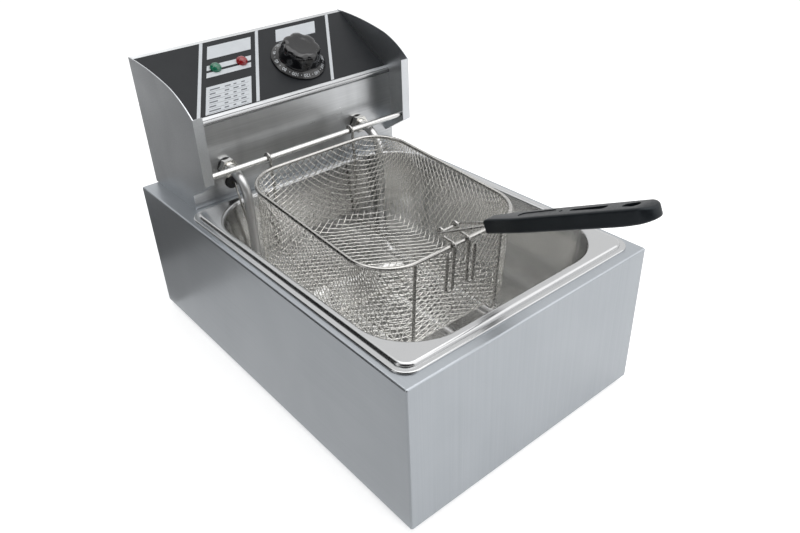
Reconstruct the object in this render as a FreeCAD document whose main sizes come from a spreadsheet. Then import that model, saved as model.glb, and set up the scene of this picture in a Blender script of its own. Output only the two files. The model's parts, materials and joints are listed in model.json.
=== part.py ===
import FreeCAD, Part
import math
import os

import Sketcher
from FreeCAD import Placement, Rotation, Vector

# Countertop deep fryer: a casing with a lift-out oil pan, a lift-off control head that carries
# the heating element, and a wire basket hung on the head's rod. Millimetres, +Z up, +X right,
# front towards -Y. The origin is under the middle of the whole object, at the foot of its feet.
# Depths and heights below are measured from the casing's middle and from its lower edge.

doc = FreeCAD.newDocument("deep_fryer")
sheet = doc.addObject("Spreadsheet::Sheet", "dims")

DIMENSIONS = {
    # casing, base plate and feet
    "casing_width": 280, "casing_depth": 440, "casing_height": 146, "sheet_gauge": 1,
    "casing_bend": 2, "casing_return": 14, "casing_y": 34.902, "base_inset": 4,
    "fold_x": 132.5, "fold_y": 212.5, "fold_pitch": 160,
    "foot_height": 8, "foot_radius": 14, "foot_taper": 1.5, "foot_recess": 5, "foot_seat": 3.5,
    "foot_x": 112, "foot_y": 188, "screw_radius": 1.9, "screw_hole": 2.1,
    "tongue_x": 60, "tongue_y": 176, "tongue_width": 40, "tongue_drop": 9, "tongue_play": 1,
    # oil pan
    "pan_length": 331.8, "pan_width": 268.4, "pan_y": -44.5, "rim_height": 5.1, "rim_lip": 5,
    "lip_height": 2, "lip_edge": 1.2, "lip_corner": 16, "rim_corner": 12, "rim_bend": 3,
    "pan_open_length": 303, "pan_open_width": 244, "pan_corner": 52, "pan_depth": 146.1,
    "pan_wall": 0.8, "pan_draft": 1.9, "pan_floor_bend": 16, "rim_roll": 4,
    # head: cheeks, plates and cover
    "head_left": -121.5, "head_right": 136.5, "head_rear": 223, "head_top": 282,
    "cheek_front": 96.5, "cheek_shoulder": 272, "shoulder_y": 138, "crown_radius": 420,
    "cheek_brow": 250, "brow_radius": 105, "cheek_chin": 182, "neck_front": 129.5,
    "neck_top": 161.5, "cheek_fold": 10, "rear_fold": 12, "front_plate_top": 227.8,
    "cover_inset": 7, "cover_low": 160, "cover_pitch": 54, "vent_x": -40, "vent_z": 180,
    "vent_pitch": 12, "vent_width": 60, "vent_height": 4,
    # sloping panel, lamps and thermostat
    "panel_y": 131.8, "panel_z": 230.2, "panel_slope": 30, "panel_length": 103.4,
    "overlay_gauge": 0.5, "overlay_low": 7, "overlay_high": 4, "lip_radius": 2.6, "lip_y": 132,
    "lip_z": 229.85,
    "lamp_radius": 6, "lamp_rim": 2.5, "lamp_height": 6, "lamp_neck": 5, "green_x": -47.9,
    "red_x": -17.1, "lamp_up": 62.6,
    "knob_x": 42.8, "knob_up": 45.2, "skirt_radius": 30, "skirt_low": 2.6, "grip_radius": 22.5,
    "knob_height": 22.6, "flute_radius": 9, "flute_depth": 1.8, "shaft_radius": 3,
    "stat_width": 36, "stat_length": 46, "stat_depth": 30, "stat_neck": 5, "stat_screw_x": 14,
    # basket rod, heating element and thermostat bulb
    "rod_radius": 3, "rod_y": 102.5, "rod_z": 187.7,
    "element_mid": 2.5, "element_x": 83.5, "element_inner_x": 27, "element_z": 181,
    "element_floor_z": 32, "element_radius": 4.75, "riser_y": 92, "element_bend": 24,
    "element_front": -150, "element_rear": 60, "element_tail": 148, "bush_radius": 6,
    "bush_flange": 9.5, "nut_across": 17, "nut_length": 7, "pin_radius": 2, "pin_length": 12,
    "capillary_x": -78, "capillary_z": 163, "capillary_radius": 0.9, "grommet_radius": 7,
    "grommet_groove": 1.6, "bulb_radius": 3, "bulb_half": 45, "bulb_y": 10,
    "clip_gauge": 1.2, "clip_width": 8,
    # inside the head
    "limiter_x": 100, "limiter_y": 176, "limiter_up": 40, "block_y": 192, "block_height": 20,
    "lead_radius": 1.4, "lead_bend": 6, "gland_x": 98, "gland_z": 176, "gland_radius": 11,
    "gland_neck": 7, "gland_bore": 4, "gland_length": 14, "locknut_across": 20,
    # basket and handle
    "basket_x": 4.4, "basket_rear": 96, "basket_rim_z": 179.8, "basket_tilt": 4,
    "basket_width": 181.2, "basket_length": 220.4, "basket_corner": 41.5, "basket_depth": 97,
    "basket_floor_bend": 12, "mesh_gauge": 1.2, "mesh_top": 1, "rim_wire": 2, "frame_wire": 1.5,
    "wire_gap": 0.1, "hook_x": 51.6, "hook_gap": 0.3, "hook_tail": 4, "joggle_low": 18,
    "joggle_high": 6, "bracket_x": 8.6, "bracket_leg_x": 16.5, "bracket_drop": 45,
    "bracket_low": 6, "bracket_over": 3.7, "bracket_tail": 2.5,
    "fork_wire": 1.3, "fork_half": 14, "fork_y": -204, "fork_z": 7.2, "prong_x": 4,
    "prong_depth": 24, "grip_y": -158.5, "grip_z": 197.25, "grip_rise": 25.2,
    "handle_length": 159.6, "handle_width": 21, "handle_thickness": 12.4, "handle_edge": 3.5,
    "handle_neck": 14, "handle_swell": 44, "handle_round": 9,
    "slot_width": 7, "slot_length": 33, "slot_corner": 3, "slot_along": 103.5,
    "eye_width": 9, "eye_length": 13.5, "eye_corner": 4, "eye_along": 140,
}
for row, (alias, number) in enumerate(DIMENSIONS.items(), start=1):
    sheet.set("A%d" % row, alias)
    sheet.set("B%d" % row, str(number))
    sheet.setAlias("B%d" % row, alias)
doc.recompute()

finished = []


def value(expression):
    number = sheet.evalExpression(expression)
    return float(getattr(number, "Value", number))


def size(alias):
    return value("dims." + alias)


def finish(piece, label, place):
    """Give a sub-part its name and its place in the appliance."""
    piece.Label = label
    piece.Placement = place
    finished.append(piece)


def new_body(name):
    return doc.addObject("PartDesign::Body", name + "_body")


def origin_part(body, role):
    """One of a body's own origin planes or axes."""
    return [each for each in body.Origin.OriginFeatures if each.Role == role][0]


def sketch_on(body, plane, height="0"):
    """Sketch on one of the body's own origin planes, moved along its normal."""
    sketch = body.newObject("Sketcher::SketchObject", body.Name + "_sketch")
    sketch.AttachmentSupport = [(origin_part(body, plane), "")]
    sketch.MapMode = "FlatFace"
    sketch.setExpression("AttachmentOffset.Base.z", height)
    return sketch


def bind(sketch, expression, *constraint):
    """Add a dimension whose value follows the sheet."""
    number = sketch.addConstraint(Sketcher.Constraint(*constraint, value(expression)))
    sketch.setExpression("Constraints[%d]" % number, expression)


def pin(sketch, piece, point, x, y):
    """Hold a point of the sketch at a place given by two expressions."""
    bind(sketch, x, "DistanceX", -1, 1, piece, point)
    bind(sketch, y, "DistanceY", -1, 1, piece, point)


def end_at(sketch, piece, point):
    """Which end of a line or arc of the sketch lies at a point."""
    return 1 if sketch.Geometry[piece].StartPoint.distanceToPoint(point) < 1e-6 else 2


def outline(sketch, corners, bends=None):
    """Closed outline of lines; a stretch that is named in bends is an arc of that radius."""
    bends = bends or {}
    points = [Vector(value(x), value(y), 0) for x, y in corners]
    first = sketch.GeometryCount
    count = len(points)
    for index, start in enumerate(points):
        end = points[(index + 1) % count]
        if index in bends:
            half = (end - start) * 0.5
            outward = Vector(half.y, -half.x, 0).normalize()
            radius = value(bends[index])
            rise = radius - math.sqrt(radius ** 2 - half.Length ** 2)
            sketch.addGeometry(Part.Arc(start, start + half + outward * rise, end))
        else:
            sketch.addGeometry(Part.LineSegment(start, end))
    for index, (x, y) in enumerate(corners):
        piece = first + index
        before = first + (index - 1) % count
        near = end_at(sketch, piece, points[index])
        far = end_at(sketch, before, points[index])
        sketch.addConstraint(Sketcher.Constraint("Coincident", before, far, piece, near))
        pin(sketch, piece, near, x, y)
    for index, radius in bends.items():
        bind(sketch, radius, "Radius", first + index)
    return sketch


def rectangle(sketch, width, depth, x="0", y="0"):
    """Rectangle about a centre; every size is an expression on the sheet."""
    left, right = "%s - (%s) / 2" % (x, width), "%s + (%s) / 2" % (x, width)
    low, high = "%s - (%s) / 2" % (y, depth), "%s + (%s) / 2" % (y, depth)
    return outline(sketch, [(left, low), (right, low), (right, high), (left, high)])


def circle(sketch, radius, x="0", y="0"):
    centre = Vector(value(x), value(y), 0)
    piece = sketch.addGeometry(Part.Circle(centre, Vector(0, 0, 1), value(radius)))
    pin(sketch, piece, 3, x, y)
    bind(sketch, radius, "Radius", piece)
    return sketch


def rounded(sketch, width, depth, corner, y="0"):
    """Rectangle with round corners, centred on the sketch's upright axis."""
    radius = value(corner)
    flat_x, flat_y = value(width) / 2 - radius, value(depth) / 2 - radius
    turns = [(flat_x, -flat_y, 270), (flat_x, flat_y, 0), (-flat_x, flat_y, 90), (-flat_x, -flat_y, 180)]
    first = sketch.GeometryCount
    ends = []
    for across, along, angle in turns:
        ring = Part.Circle(Vector(across, value(y) + along, 0), Vector(0, 0, 1), radius)
        start = math.radians(angle)
        stop = start + math.pi / 2
        sketch.addGeometry(Part.ArcOfCircle(ring, start, stop))
        ends.append((ring.value(start), ring.value(stop)))
    for index in range(4):
        sketch.addGeometry(Part.LineSegment(ends[index][1], ends[(index + 1) % 4][0]))
    for index in range(4):
        line = first + 4 + index
        sketch.addConstraint(Sketcher.Constraint("Tangent", first + index, 2, line, 1))
        sketch.addConstraint(Sketcher.Constraint("Tangent", line, 2, first + (index + 1) % 4, 1))
        sketch.addConstraint(Sketcher.Constraint("Horizontal" if index % 2 else "Vertical", line))
    for index in range(1, 4):
        sketch.addConstraint(Sketcher.Constraint("Equal", first, first + index))
    bind(sketch, corner, "Radius", first)
    bind(sketch, "(%s) / 2" % width, "DistanceX", -1, 1, first + 4, 1)
    bind(sketch, "-(%s) / 2" % width, "DistanceX", -1, 1, first + 6, 1)
    bind(sketch, "%s + (%s) / 2" % (y, depth), "DistanceY", -1, 1, first + 5, 1)
    bind(sketch, "%s - (%s) / 2" % (y, depth), "DistanceY", -1, 1, first + 7, 1)
    return sketch


def feature(body, kind, sketch, length, reverse):
    """Pad or pocket of a sketch, checked to have added or cut something."""
    doc.recompute()
    before = body.Shape.Volume if body.Tip else 0
    made = body.newObject("PartDesign::" + kind, body.Name + "_" + kind.lower())
    made.Profile = sketch
    made.Reversed = reverse
    made.setExpression("Length", length)
    doc.recompute()
    grown = body.Shape.Volume > before
    if grown != (kind == "Pad"):
        raise RuntimeError("%s has no effect on %s" % (kind, body.Name))
    return made


def pad(body, sketch, length, reverse=False):
    return feature(body, "Pad", sketch, length, reverse)


def pocket(body, sketch, length, reverse=False):
    return feature(body, "Pocket", sketch, length, reverse)


def round_edges(body, radius, chosen):
    """Fillet the edges that the test picks."""
    doc.recompute()
    base = body.Tip
    names = ["Edge%d" % (n + 1) for n, edge in enumerate(base.Shape.Edges) if chosen(edge)]
    fillet = body.newObject("PartDesign::Fillet", body.Name + "_fillet")
    fillet.Base = (base, names)
    fillet.setExpression("Radius", radius)
    doc.recompute()


def hollow_out(body, room):
    """Take the room inside a vessel out of its solid body."""
    cut = body.newObject("PartDesign::Boolean", body.Name + "_hollow")
    cut.setObjects([room])
    cut.Type = "Cut"
    doc.recompute()


def turned(name, corners, bends=None):
    """Solid of revolution about Z from an outline of radii and heights."""
    body = new_body(name)
    made = body.newObject("PartDesign::Revolution", name + "_turned")
    made.Profile = outline(sketch_on(body, "XZ_Plane"), corners, bends)
    made.ReferenceAxis = (origin_part(body, "Z_Axis"), [""])
    made.Angle = 360
    doc.recompute()
    return body


def cylinder(label, radius, length, place):
    made = doc.addObject("Part::Cylinder", label + "_cylinder")
    made.setExpression("Radius", radius)
    made.setExpression("Height", length)
    finish(made, label, place)


def block(label, length, width, height, place):
    """Plain box-shaped component, centred on its own X and Y, standing on its place."""
    box = doc.addObject("Part::Box", label + "_box")
    for side, number in (("Length", length), ("Width", width), ("Height", height)):
        box.setExpression(side, number)
    corner = Vector(-value(length) / 2, -value(width) / 2, 0)
    finish(box, label, place * Placement(corner, Rotation()))


def hex_nut(name, across, thickness, bore):
    """Six-sided nut standing on its own XY plane."""
    prism = doc.addObject("Part::Prism", name + "_prism")
    prism.Polygon = 6
    prism.setExpression("Circumradius", "(%s) / sqrt(3)" % across)
    prism.setExpression("Height", thickness)
    hole = doc.addObject("Part::Cylinder", name + "_bore")
    hole.setExpression("Radius", bore)
    hole.setExpression("Height", thickness)
    nut = doc.addObject("Part::Cut", name + "_nut")
    nut.Base = prism
    nut.Tool = hole
    return nut


def pan_screw(name, head_radius, head_height, reach):
    """Pan-head screw pointing up, with its head hanging from its own XY plane."""
    low, shank, top = "-(%s)" % head_height, "dims.screw_radius", reach
    return turned(name, [("0", low), (head_radius, low), (head_radius, "0"), (shank, "0"),
                         (shank, top), ("0", top)])


def group(label, pattern, places):
    """Identical pieces that share one name, as separate solids."""
    doc.recompute()
    copies = []
    for place in places:
        copy = pattern.Shape.copy()
        copy.Placement = place
        copies.append(copy)
    made = doc.addObject("Part::Feature", label + "_group")
    made.Shape = Part.makeCompound(copies)
    made.Label = label
    finished.append(made)


def bent_wire(points, bend, radius):
    """Round wire or tube along straight runs joined by tangent arcs."""
    edges = []
    start = points[0]
    for before, corner, after in zip(points, points[1:], points[2:]):
        back = (before - corner).normalize()
        ahead = (after - corner).normalize()
        half_angle = back.getAngle(ahead) / 2
        setback = bend / math.tan(half_angle)
        bisector = (back + ahead).normalize()
        middle = corner + bisector * (bend / math.sin(half_angle) - bend)
        entry = corner + back * setback
        leave = corner + ahead * setback
        edges.append(Part.LineSegment(start, entry).toShape())
        edges.append(Part.Arc(entry, middle, leave).toShape())
        start = leave
    edges.append(Part.LineSegment(start, points[-1]).toShape())
    section = Part.Wire(Part.makeCircle(radius, points[0], points[1] - points[0]))
    tube = Part.Wire(edges).makePipeShell([section], True, False)
    length = sum(edge.Length for edge in edges)
    if abs(tube.Volume - math.pi * radius ** 2 * length) > 0.01 * tube.Volume:
        raise RuntimeError("bent wire has the wrong volume")
    return tube


def wires(label, shapes, place):
    made = doc.addObject("Part::Feature", label + "_wire")
    made.Shape = shapes[0] if len(shapes) == 1 else Part.makeCompound(shapes)
    finish(made, label, place)


# The shared frames: the casing, the sloping panel, the hung basket and the handle's grip.
ABOUT_X = Vector(1, 0, 0)
APPLIANCE = Placement(Vector(0, size("casing_y"), size("foot_height")), Rotation())
SLOPE = Rotation(ABOUT_X, size("panel_slope"))
PANEL = APPLIANCE * Placement(Vector(0, size("panel_y"), size("panel_z")), SLOPE)
HUNG = Rotation(ABOUT_X, size("basket_tilt"))
BASKET_REAR = Vector(size("basket_x"), size("basket_rear"), size("basket_rim_z"))
BASKET = APPLIANCE * Placement(BASKET_REAR, HUNG)
RISE = Rotation(ABOUT_X, -size("grip_rise"))
GRIP = APPLIANCE * Placement(Vector(size("basket_x"), size("grip_y"), size("grip_z")), RISE)
TO_REAR = Rotation(ABOUT_X, -90)
TO_FRONT = Rotation(ABOUT_X, 90)
TO_RIGHT = Rotation(Vector(0, 1, 0), 90)
UPSIDE_DOWN = Rotation(ABOUT_X, 180)
SIDES = (-1, 1)
SHEET = "dims.sheet_gauge"


def spot(x, y, z, turn=Rotation()):
    """A place in the casing's own frame."""
    return APPLIANCE * Placement(Vector(x, y, z), turn)


def on_panel(x, up, out=0, turn=Rotation()):
    """A place on the sloping panel, a distance out from the deck's upper face."""
    return PANEL * Placement(Vector(x, up, out), turn)


# Casing: one folded shell with the pan's cut-out, two slots for the head and a return underneath.
WIDTH, DEPTH, HEIGHT = "dims.casing_width", "dims.casing_depth", "dims.casing_height"
OPEN_WIDTH, OPEN_LENGTH, PAN_Y = "dims.pan_open_width", "dims.pan_open_length", "dims.pan_y"
ROLL = "2 * dims.rim_roll"
FOLD_SPOTS = [(side * size("fold_x"), step * size("fold_pitch")) for side in SIDES for step in (-1, 0, 1)]
FOLD_SPOTS += [(0, end * size("fold_y")) for end in SIDES]
FOOT_SPOTS = [(x * size("foot_x"), y * size("foot_y")) for x in SIDES for y in SIDES]
deck_height = size("casing_height")


def screw_holes(body, spots, reverse=False):
    drilled = sketch_on(body, "XY_Plane")
    for x, y in spots:
        circle(drilled, "dims.screw_hole", str(x), str(y))
    pocket(body, drilled, "2 * " + SHEET, reverse)


casing = new_body("casing")
pad(casing, rounded(sketch_on(casing, "XY_Plane"), WIDTH, DEPTH, "dims.casing_bend"), HEIGHT)
round_edges(casing, "dims.casing_bend", lambda edge: edge.BoundBox.ZMin > deck_height - 0.01)
hollow = sketch_on(casing, "XY_Plane")
rounded(hollow, "%s - 2 * %s" % (WIDTH, SHEET), "%s - 2 * %s" % (DEPTH, SHEET),
        "dims.casing_bend - " + SHEET)
pocket(casing, hollow, HEIGHT + " - " + SHEET, True)
cutout = sketch_on(casing, "XY_Plane")
rounded(cutout, "%s + %s" % (OPEN_WIDTH, ROLL), "%s + %s" % (OPEN_LENGTH, ROLL),
        "dims.pan_corner + dims.rim_roll", PAN_Y)
pocket(casing, cutout, HEIGHT, True)
slots = sketch_on(casing, "XY_Plane", "%s - 2 * %s" % (HEIGHT, SHEET))
for side in SIDES:
    rectangle(slots, "dims.tongue_width + 2 * dims.tongue_play", SHEET + " + 2 * dims.tongue_play",
              "%d * dims.tongue_x" % side, "dims.tongue_y")
pocket(casing, slots, "2 * " + SHEET, True)
fold = sketch_on(casing, "XY_Plane")
rectangle(fold, WIDTH + " - " + SHEET, DEPTH + " - " + SHEET)
rectangle(fold, WIDTH + " - 2 * dims.casing_return", DEPTH + " - 2 * dims.casing_return")
pad(casing, fold, SHEET)
screw_holes(casing, FOLD_SPOTS, True)
finish(casing, "casing_shell", APPLIANCE)

# Base plate, screwed up against the casing's return, with four rubber feet.
base = new_body("base")
base_plan = sketch_on(base, "XY_Plane")
rectangle(base_plan, WIDTH + " - 2 * dims.base_inset", DEPTH + " - 2 * dims.base_inset")
pad(base, base_plan, SHEET, True)
screw_holes(base, FOLD_SPOTS + FOOT_SPOTS)
finish(base, "base_plate", APPLIANCE)

FOOT_TOP, FOOT_LOW = "-" + SHEET, "-dims.foot_height"
FOOT_SEAT = FOOT_LOW + " + dims.foot_seat"
foot = turned("foot", [("dims.screw_hole", FOOT_TOP), ("dims.foot_radius", FOOT_TOP),
                       ("dims.foot_radius - dims.foot_taper", FOOT_LOW), ("dims.foot_recess", FOOT_LOW),
                       ("dims.foot_recess", FOOT_SEAT), ("dims.screw_hole", FOOT_SEAT)])
group("feet", foot, [spot(x, y, 0) for x, y in FOOT_SPOTS])
foot_screw = pan_screw("foot_screw", head_radius="4.2", head_height="2.2", reach="9")
group("foot_screws", foot_screw, [spot(x, y, value(FOOT_SEAT)) for x, y in FOOT_SPOTS])
foot_nut = hex_nut("foot", across="7", thickness="3.2", bore="dims.screw_radius + 0.05")
group("foot_nuts", foot_nut, [spot(x, y, 0) for x, y in FOOT_SPOTS])
base_screw = pan_screw("base_screw", head_radius="3.6", head_height="1.8", reach="6")
group("base_screws", base_screw, [spot(x, y, -size("sheet_gauge")) for x, y in FOLD_SPOTS])

# Oil pan: deep drawn, with a flat flange that steps down to a lip resting on the casing.
RIM_TOP = HEIGHT + " + dims.rim_height"
STEP_WIDTH, STEP_LENGTH = "dims.pan_width - 2 * dims.rim_lip", "dims.pan_length - 2 * dims.rim_lip"
UNDER_RIM = RIM_TOP + " - 0.5 * " + SHEET
DRAFT = -size("pan_draft")
rim_top = value(RIM_TOP)
pan_floor = rim_top - size("pan_depth")


def all_round(body, height, width, length, corner):
    """Round-cornered outline about the pan's middle, at a height."""
    return rounded(sketch_on(body, "XY_Plane", height), width, length, corner, PAN_Y)


def is_opening(edge):
    box = edge.BoundBox
    level = abs(box.ZMax - rim_top) < 0.01 and abs(box.ZMin - rim_top) < 0.01
    return level and max(abs(box.XMin), abs(box.XMax)) < value(OPEN_WIDTH) / 2 + 0.5


pan = new_body("pan")
pad(pan, all_round(pan, HEIGHT, "dims.pan_width", "dims.pan_length", "dims.lip_corner"), "dims.lip_height")
round_edges(pan, "dims.lip_edge", lambda edge: edge.BoundBox.ZMin > deck_height + 0.01)
pad(pan, all_round(pan, HEIGHT, STEP_WIDTH, STEP_LENGTH, "dims.rim_corner"), "dims.rim_height")
round_edges(pan, "dims.rim_bend", lambda edge: edge.BoundBox.ZMin > rim_top - 0.01)
beneath = all_round(pan, HEIGHT, "%s - 2 * %s" % (STEP_WIDTH, SHEET), "%s - 2 * %s" % (STEP_LENGTH, SHEET),
                    "dims.rim_corner - " + SHEET)
pocket(pan, beneath, "dims.rim_height - " + SHEET, True)
roll = all_round(pan, UNDER_RIM, "%s + %s" % (OPEN_WIDTH, ROLL), "%s + %s" % (OPEN_LENGTH, ROLL),
                 "dims.pan_corner + dims.rim_roll")
pad(pan, roll, "dims.rim_roll + " + SHEET, True)
drawn = all_round(pan, UNDER_RIM, OPEN_WIDTH + " + 2 * dims.pan_wall", OPEN_LENGTH + " + 2 * dims.pan_wall",
                  "dims.pan_corner + dims.pan_wall")
pad(pan, drawn, "dims.pan_depth - 0.5 * %s + dims.pan_wall" % SHEET, True).TaperAngle = DRAFT
round_edges(pan, "dims.pan_floor_bend", lambda edge: edge.BoundBox.ZMax < pan_floor)
room = new_body("pan_room")
room_plan = all_round(room, RIM_TOP, OPEN_WIDTH, OPEN_LENGTH, "dims.pan_corner")
pad(room, room_plan, "dims.pan_depth", True).TaperAngle = DRAFT
round_edges(room, "dims.pan_floor_bend - dims.pan_wall", lambda edge: edge.BoundBox.ZMax < pan_floor + 0.01)
hollow_out(pan, room)
round_edges(pan, "dims.rim_roll - 0.5 * " + SHEET, is_opening)
finish(pan, "oil_pan", APPLIANCE)

# Head: two cheeks with folded front and rear edges, closed by plates in front, behind and below.
FRONT, BROW, CHIN = "dims.cheek_front", "dims.cheek_brow", "dims.cheek_chin"
NECK, NECK_TOP, REAR, TOP = "dims.neck_front", "dims.neck_top", "dims.head_rear", "dims.head_top"
CHEEK = [(REAR, HEIGHT), (REAR, TOP), ("dims.shoulder_y", "dims.cheek_shoulder"), (FRONT, BROW),
         (FRONT, CHIN), (NECK, NECK_TOP), (NECK, HEIGHT)]
CHEEK_CURVES = {1: "dims.crown_radius", 2: "dims.brow_radius"}
FOLD_IN = FRONT + " + " + SHEET
FRONT_FOLD = [(FRONT, BROW), (FRONT, CHIN), (NECK, NECK_TOP), (NECK, NECK_TOP + " + 1.2 * " + SHEET),
              (FOLD_IN, CHIN + " + 0.6 * " + SHEET), (FOLD_IN, BROW)]
REAR_OUT, REAR_IN = REAR + " - " + SHEET, REAR + " - 2 * " + SHEET
REAR_FOLD = [(REAR_OUT, HEIGHT + " + 3"), (REAR_OUT, TOP + " - 6"), (REAR_IN, TOP + " - 6"),
             (REAR_IN, HEIGHT + " + 3")]
COVER_HEIGHTS = ["dims.cover_low + %d * dims.cover_pitch" % step for step in range(3)]
COVER_SIDES = ("dims.head_left + dims.cover_inset", "dims.head_right - dims.cover_inset")


def cheek(label, outer, screw_x, mirrored):
    """Side plate of the head, folded inwards along its front and rear edges."""
    body = new_body(label)
    pad(body, outline(sketch_on(body, "YZ_Plane", outer), CHEEK, CHEEK_CURVES), SHEET, mirrored)
    pad(body, outline(sketch_on(body, "YZ_Plane", outer), FRONT_FOLD), "dims.cheek_fold", mirrored)
    pad(body, outline(sketch_on(body, "YZ_Plane", outer), REAR_FOLD), "dims.rear_fold", mirrored)
    holes = sketch_on(body, "XZ_Plane", "-" + REAR)
    for height in COVER_HEIGHTS:
        circle(holes, "dims.screw_hole", screw_x, height)
    pocket(body, holes, "3 * " + SHEET, True)
    finish(body, label, APPLIANCE)


cheek("head_left_cheek", "dims.head_left", COVER_SIDES[0], False)
cheek("head_right_cheek", "dims.head_right", COVER_SIDES[1], True)

INSIDE_LEFT, INSIDE_RIGHT = "dims.head_left + " + SHEET, "dims.head_right - " + SHEET
INSIDE_WIDTH = "dims.head_right - dims.head_left - 2 * " + SHEET
head_middle = (size("head_left") + size("head_right")) / 2


def between_cheeks(body, plane, height, low, high):
    """Sketch of a plate that fills the width between the cheeks."""
    corners = [(INSIDE_LEFT, low), (INSIDE_RIGHT, low), (INSIDE_RIGHT, high), (INSIDE_LEFT, high)]
    return outline(sketch_on(body, plane, height), corners)


front = new_body("front")
front_face = "-" + NECK
FLOOR_TOP = HEIGHT + " + " + SHEET
pad(front, between_cheeks(front, "XZ_Plane", front_face, FLOOR_TOP, "dims.front_plate_top"), SHEET, True)
fittings = sketch_on(front, "XZ_Plane", front_face)
for side in SIDES:
    bush_x = "dims.element_mid + %d * dims.element_x" % side
    circle(fittings, "dims.bush_radius + 0.2", bush_x, "dims.element_z")
circle(fittings, "dims.grommet_radius - dims.grommet_groove + 0.1", "dims.capillary_x", "dims.capillary_z")
pocket(front, fittings, "2 * " + SHEET)
finish(front, "head_front_plate", APPLIANCE)

floor = new_body("floor")
pad(floor, between_cheeks(floor, "XY_Plane", HEIGHT, NECK + " + " + SHEET, REAR_IN + " - 0.2"), SHEET)
tongues = sketch_on(floor, "XY_Plane", FLOOR_TOP)
for side in SIDES:
    rectangle(tongues, "dims.tongue_width", SHEET, "%d * dims.tongue_x" % side, "dims.tongue_y")
pad(floor, tongues, "dims.tongue_drop + " + SHEET, True)
finish(floor, "head_floor", APPLIANCE)

VENT_COUNT = 7
rear = new_body("rear")
rear_face = "-(%s)" % REAR_OUT
pad(rear, between_cheeks(rear, "XZ_Plane", rear_face, FLOOR_TOP, TOP + " - " + SHEET), SHEET, True)
bores = sketch_on(rear, "XZ_Plane", rear_face)
for height in COVER_HEIGHTS:
    for screw_x in COVER_SIDES:
        circle(bores, "dims.screw_hole", screw_x, height)
circle(bores, "dims.gland_neck + 0.2", "dims.gland_x", "dims.gland_z")
pocket(rear, bores, "2 * " + SHEET)
vents = sketch_on(rear, "XZ_Plane", rear_face)
for number in range(VENT_COUNT):
    rectangle(vents, "dims.vent_width", "dims.vent_height", "dims.vent_x",
              "dims.vent_z + %d * dims.vent_pitch" % number)
pocket(rear, vents, "2 * " + SHEET)
finish(rear, "rear_cover", APPLIANCE)
COVER_SPOTS = [spot(value(screw_x), size("head_rear"), value(height), TO_FRONT)
               for screw_x in COVER_SIDES for height in COVER_HEIGHTS]
cover_screw = pan_screw("cover_screw", head_radius="3.4", head_height="1.7", reach="7")
group("rear_cover_screws", cover_screw, COVER_SPOTS)

# Control deck on the slope, its printed overlay, and the rolled lip along the lower edge.
LAMP_SPOTS = [("dims.green_x", "dims.lamp_up"), ("dims.red_x", "dims.lamp_up")]
STAT_SCREWS = [("dims.knob_x + %d * dims.stat_screw_x" % side, "dims.knob_up") for side in SIDES]


def sloping(label, low_margin, high_margin, thickness, out):
    """Sheet on the panel's slope, pierced for the lamps, the shaft and the thermostat's screws."""
    body = new_body(label)
    high = "dims.panel_length - " + high_margin
    pad(body, between_cheeks(body, "XY_Plane", out, low_margin, high), thickness)
    pierced = sketch_on(body, "XY_Plane", out)
    for x, up in LAMP_SPOTS:
        circle(pierced, "dims.lamp_neck + 0.1", x, up)
    for x, up in STAT_SCREWS:
        circle(pierced, "dims.screw_hole", x, up)
    circle(pierced, "dims.stat_neck + 0.2", "dims.knob_x", "dims.knob_up")
    pocket(body, pierced, "2 * " + SHEET, True)
    finish(body, label, PANEL)


sloping("control_deck", "dims.lip_radius + 0.1", "0", SHEET, "-" + SHEET)
sloping("panel_overlay", "dims.overlay_low", "dims.overlay_high", "dims.overlay_gauge", "0")

lip = new_body("lip")
ring = sketch_on(lip, "YZ_Plane", INSIDE_LEFT)
circle(ring, "dims.lip_radius", "dims.lip_y", "dims.lip_z")
circle(ring, "dims.lip_radius - " + SHEET, "dims.lip_y", "dims.lip_z")
pad(lip, ring, INSIDE_WIDTH)
finish(lip, "drip_lip", APPLIANCE)

# Rod across the cheeks that the basket hangs from.
rod_end = spot(value(INSIDE_LEFT), size("rod_y"), size("rod_z"), TO_RIGHT)
cylinder("basket_rod", "dims.rod_radius", INSIDE_WIDTH, rod_end)

# Signal lamps: a domed lens outside the panel and a holder behind it.
OVERLAY = "dims.overlay_gauge"
LENS = [("0", OVERLAY), ("dims.lamp_radius", OVERLAY), ("dims.lamp_radius", "dims.lamp_rim"),
        ("0", "dims.lamp_height")]
LENS_CAP = "(dims.lamp_height - dims.lamp_rim)"
LENS_DOME = "(dims.lamp_radius ^ 2 + %s ^ 2) / (2 * %s)" % (LENS_CAP, LENS_CAP)
for label, lamp_x in (("green_lamp_lens", "green_x"), ("red_lamp_lens", "red_x")):
    finish(turned(label, LENS, {2: LENS_DOME}), label, on_panel(size(lamp_x), size("lamp_up")))
LAMP_TAIL, LAMP_STEP, LAMP_COLLAR = "-22", "-14", "dims.lamp_radius + 0.6"
holder = turned("lamp", [("0", LAMP_TAIL), ("4.6", LAMP_TAIL), ("4.6", LAMP_STEP), (LAMP_COLLAR, LAMP_STEP),
                         (LAMP_COLLAR, "-" + SHEET), ("dims.lamp_neck", "-" + SHEET),
                         ("dims.lamp_neck", OVERLAY), ("0", OVERLAY)])
group("lamp_bodies", holder, [on_panel(value(x), value(up)) for x, up in LAMP_SPOTS])

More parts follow.
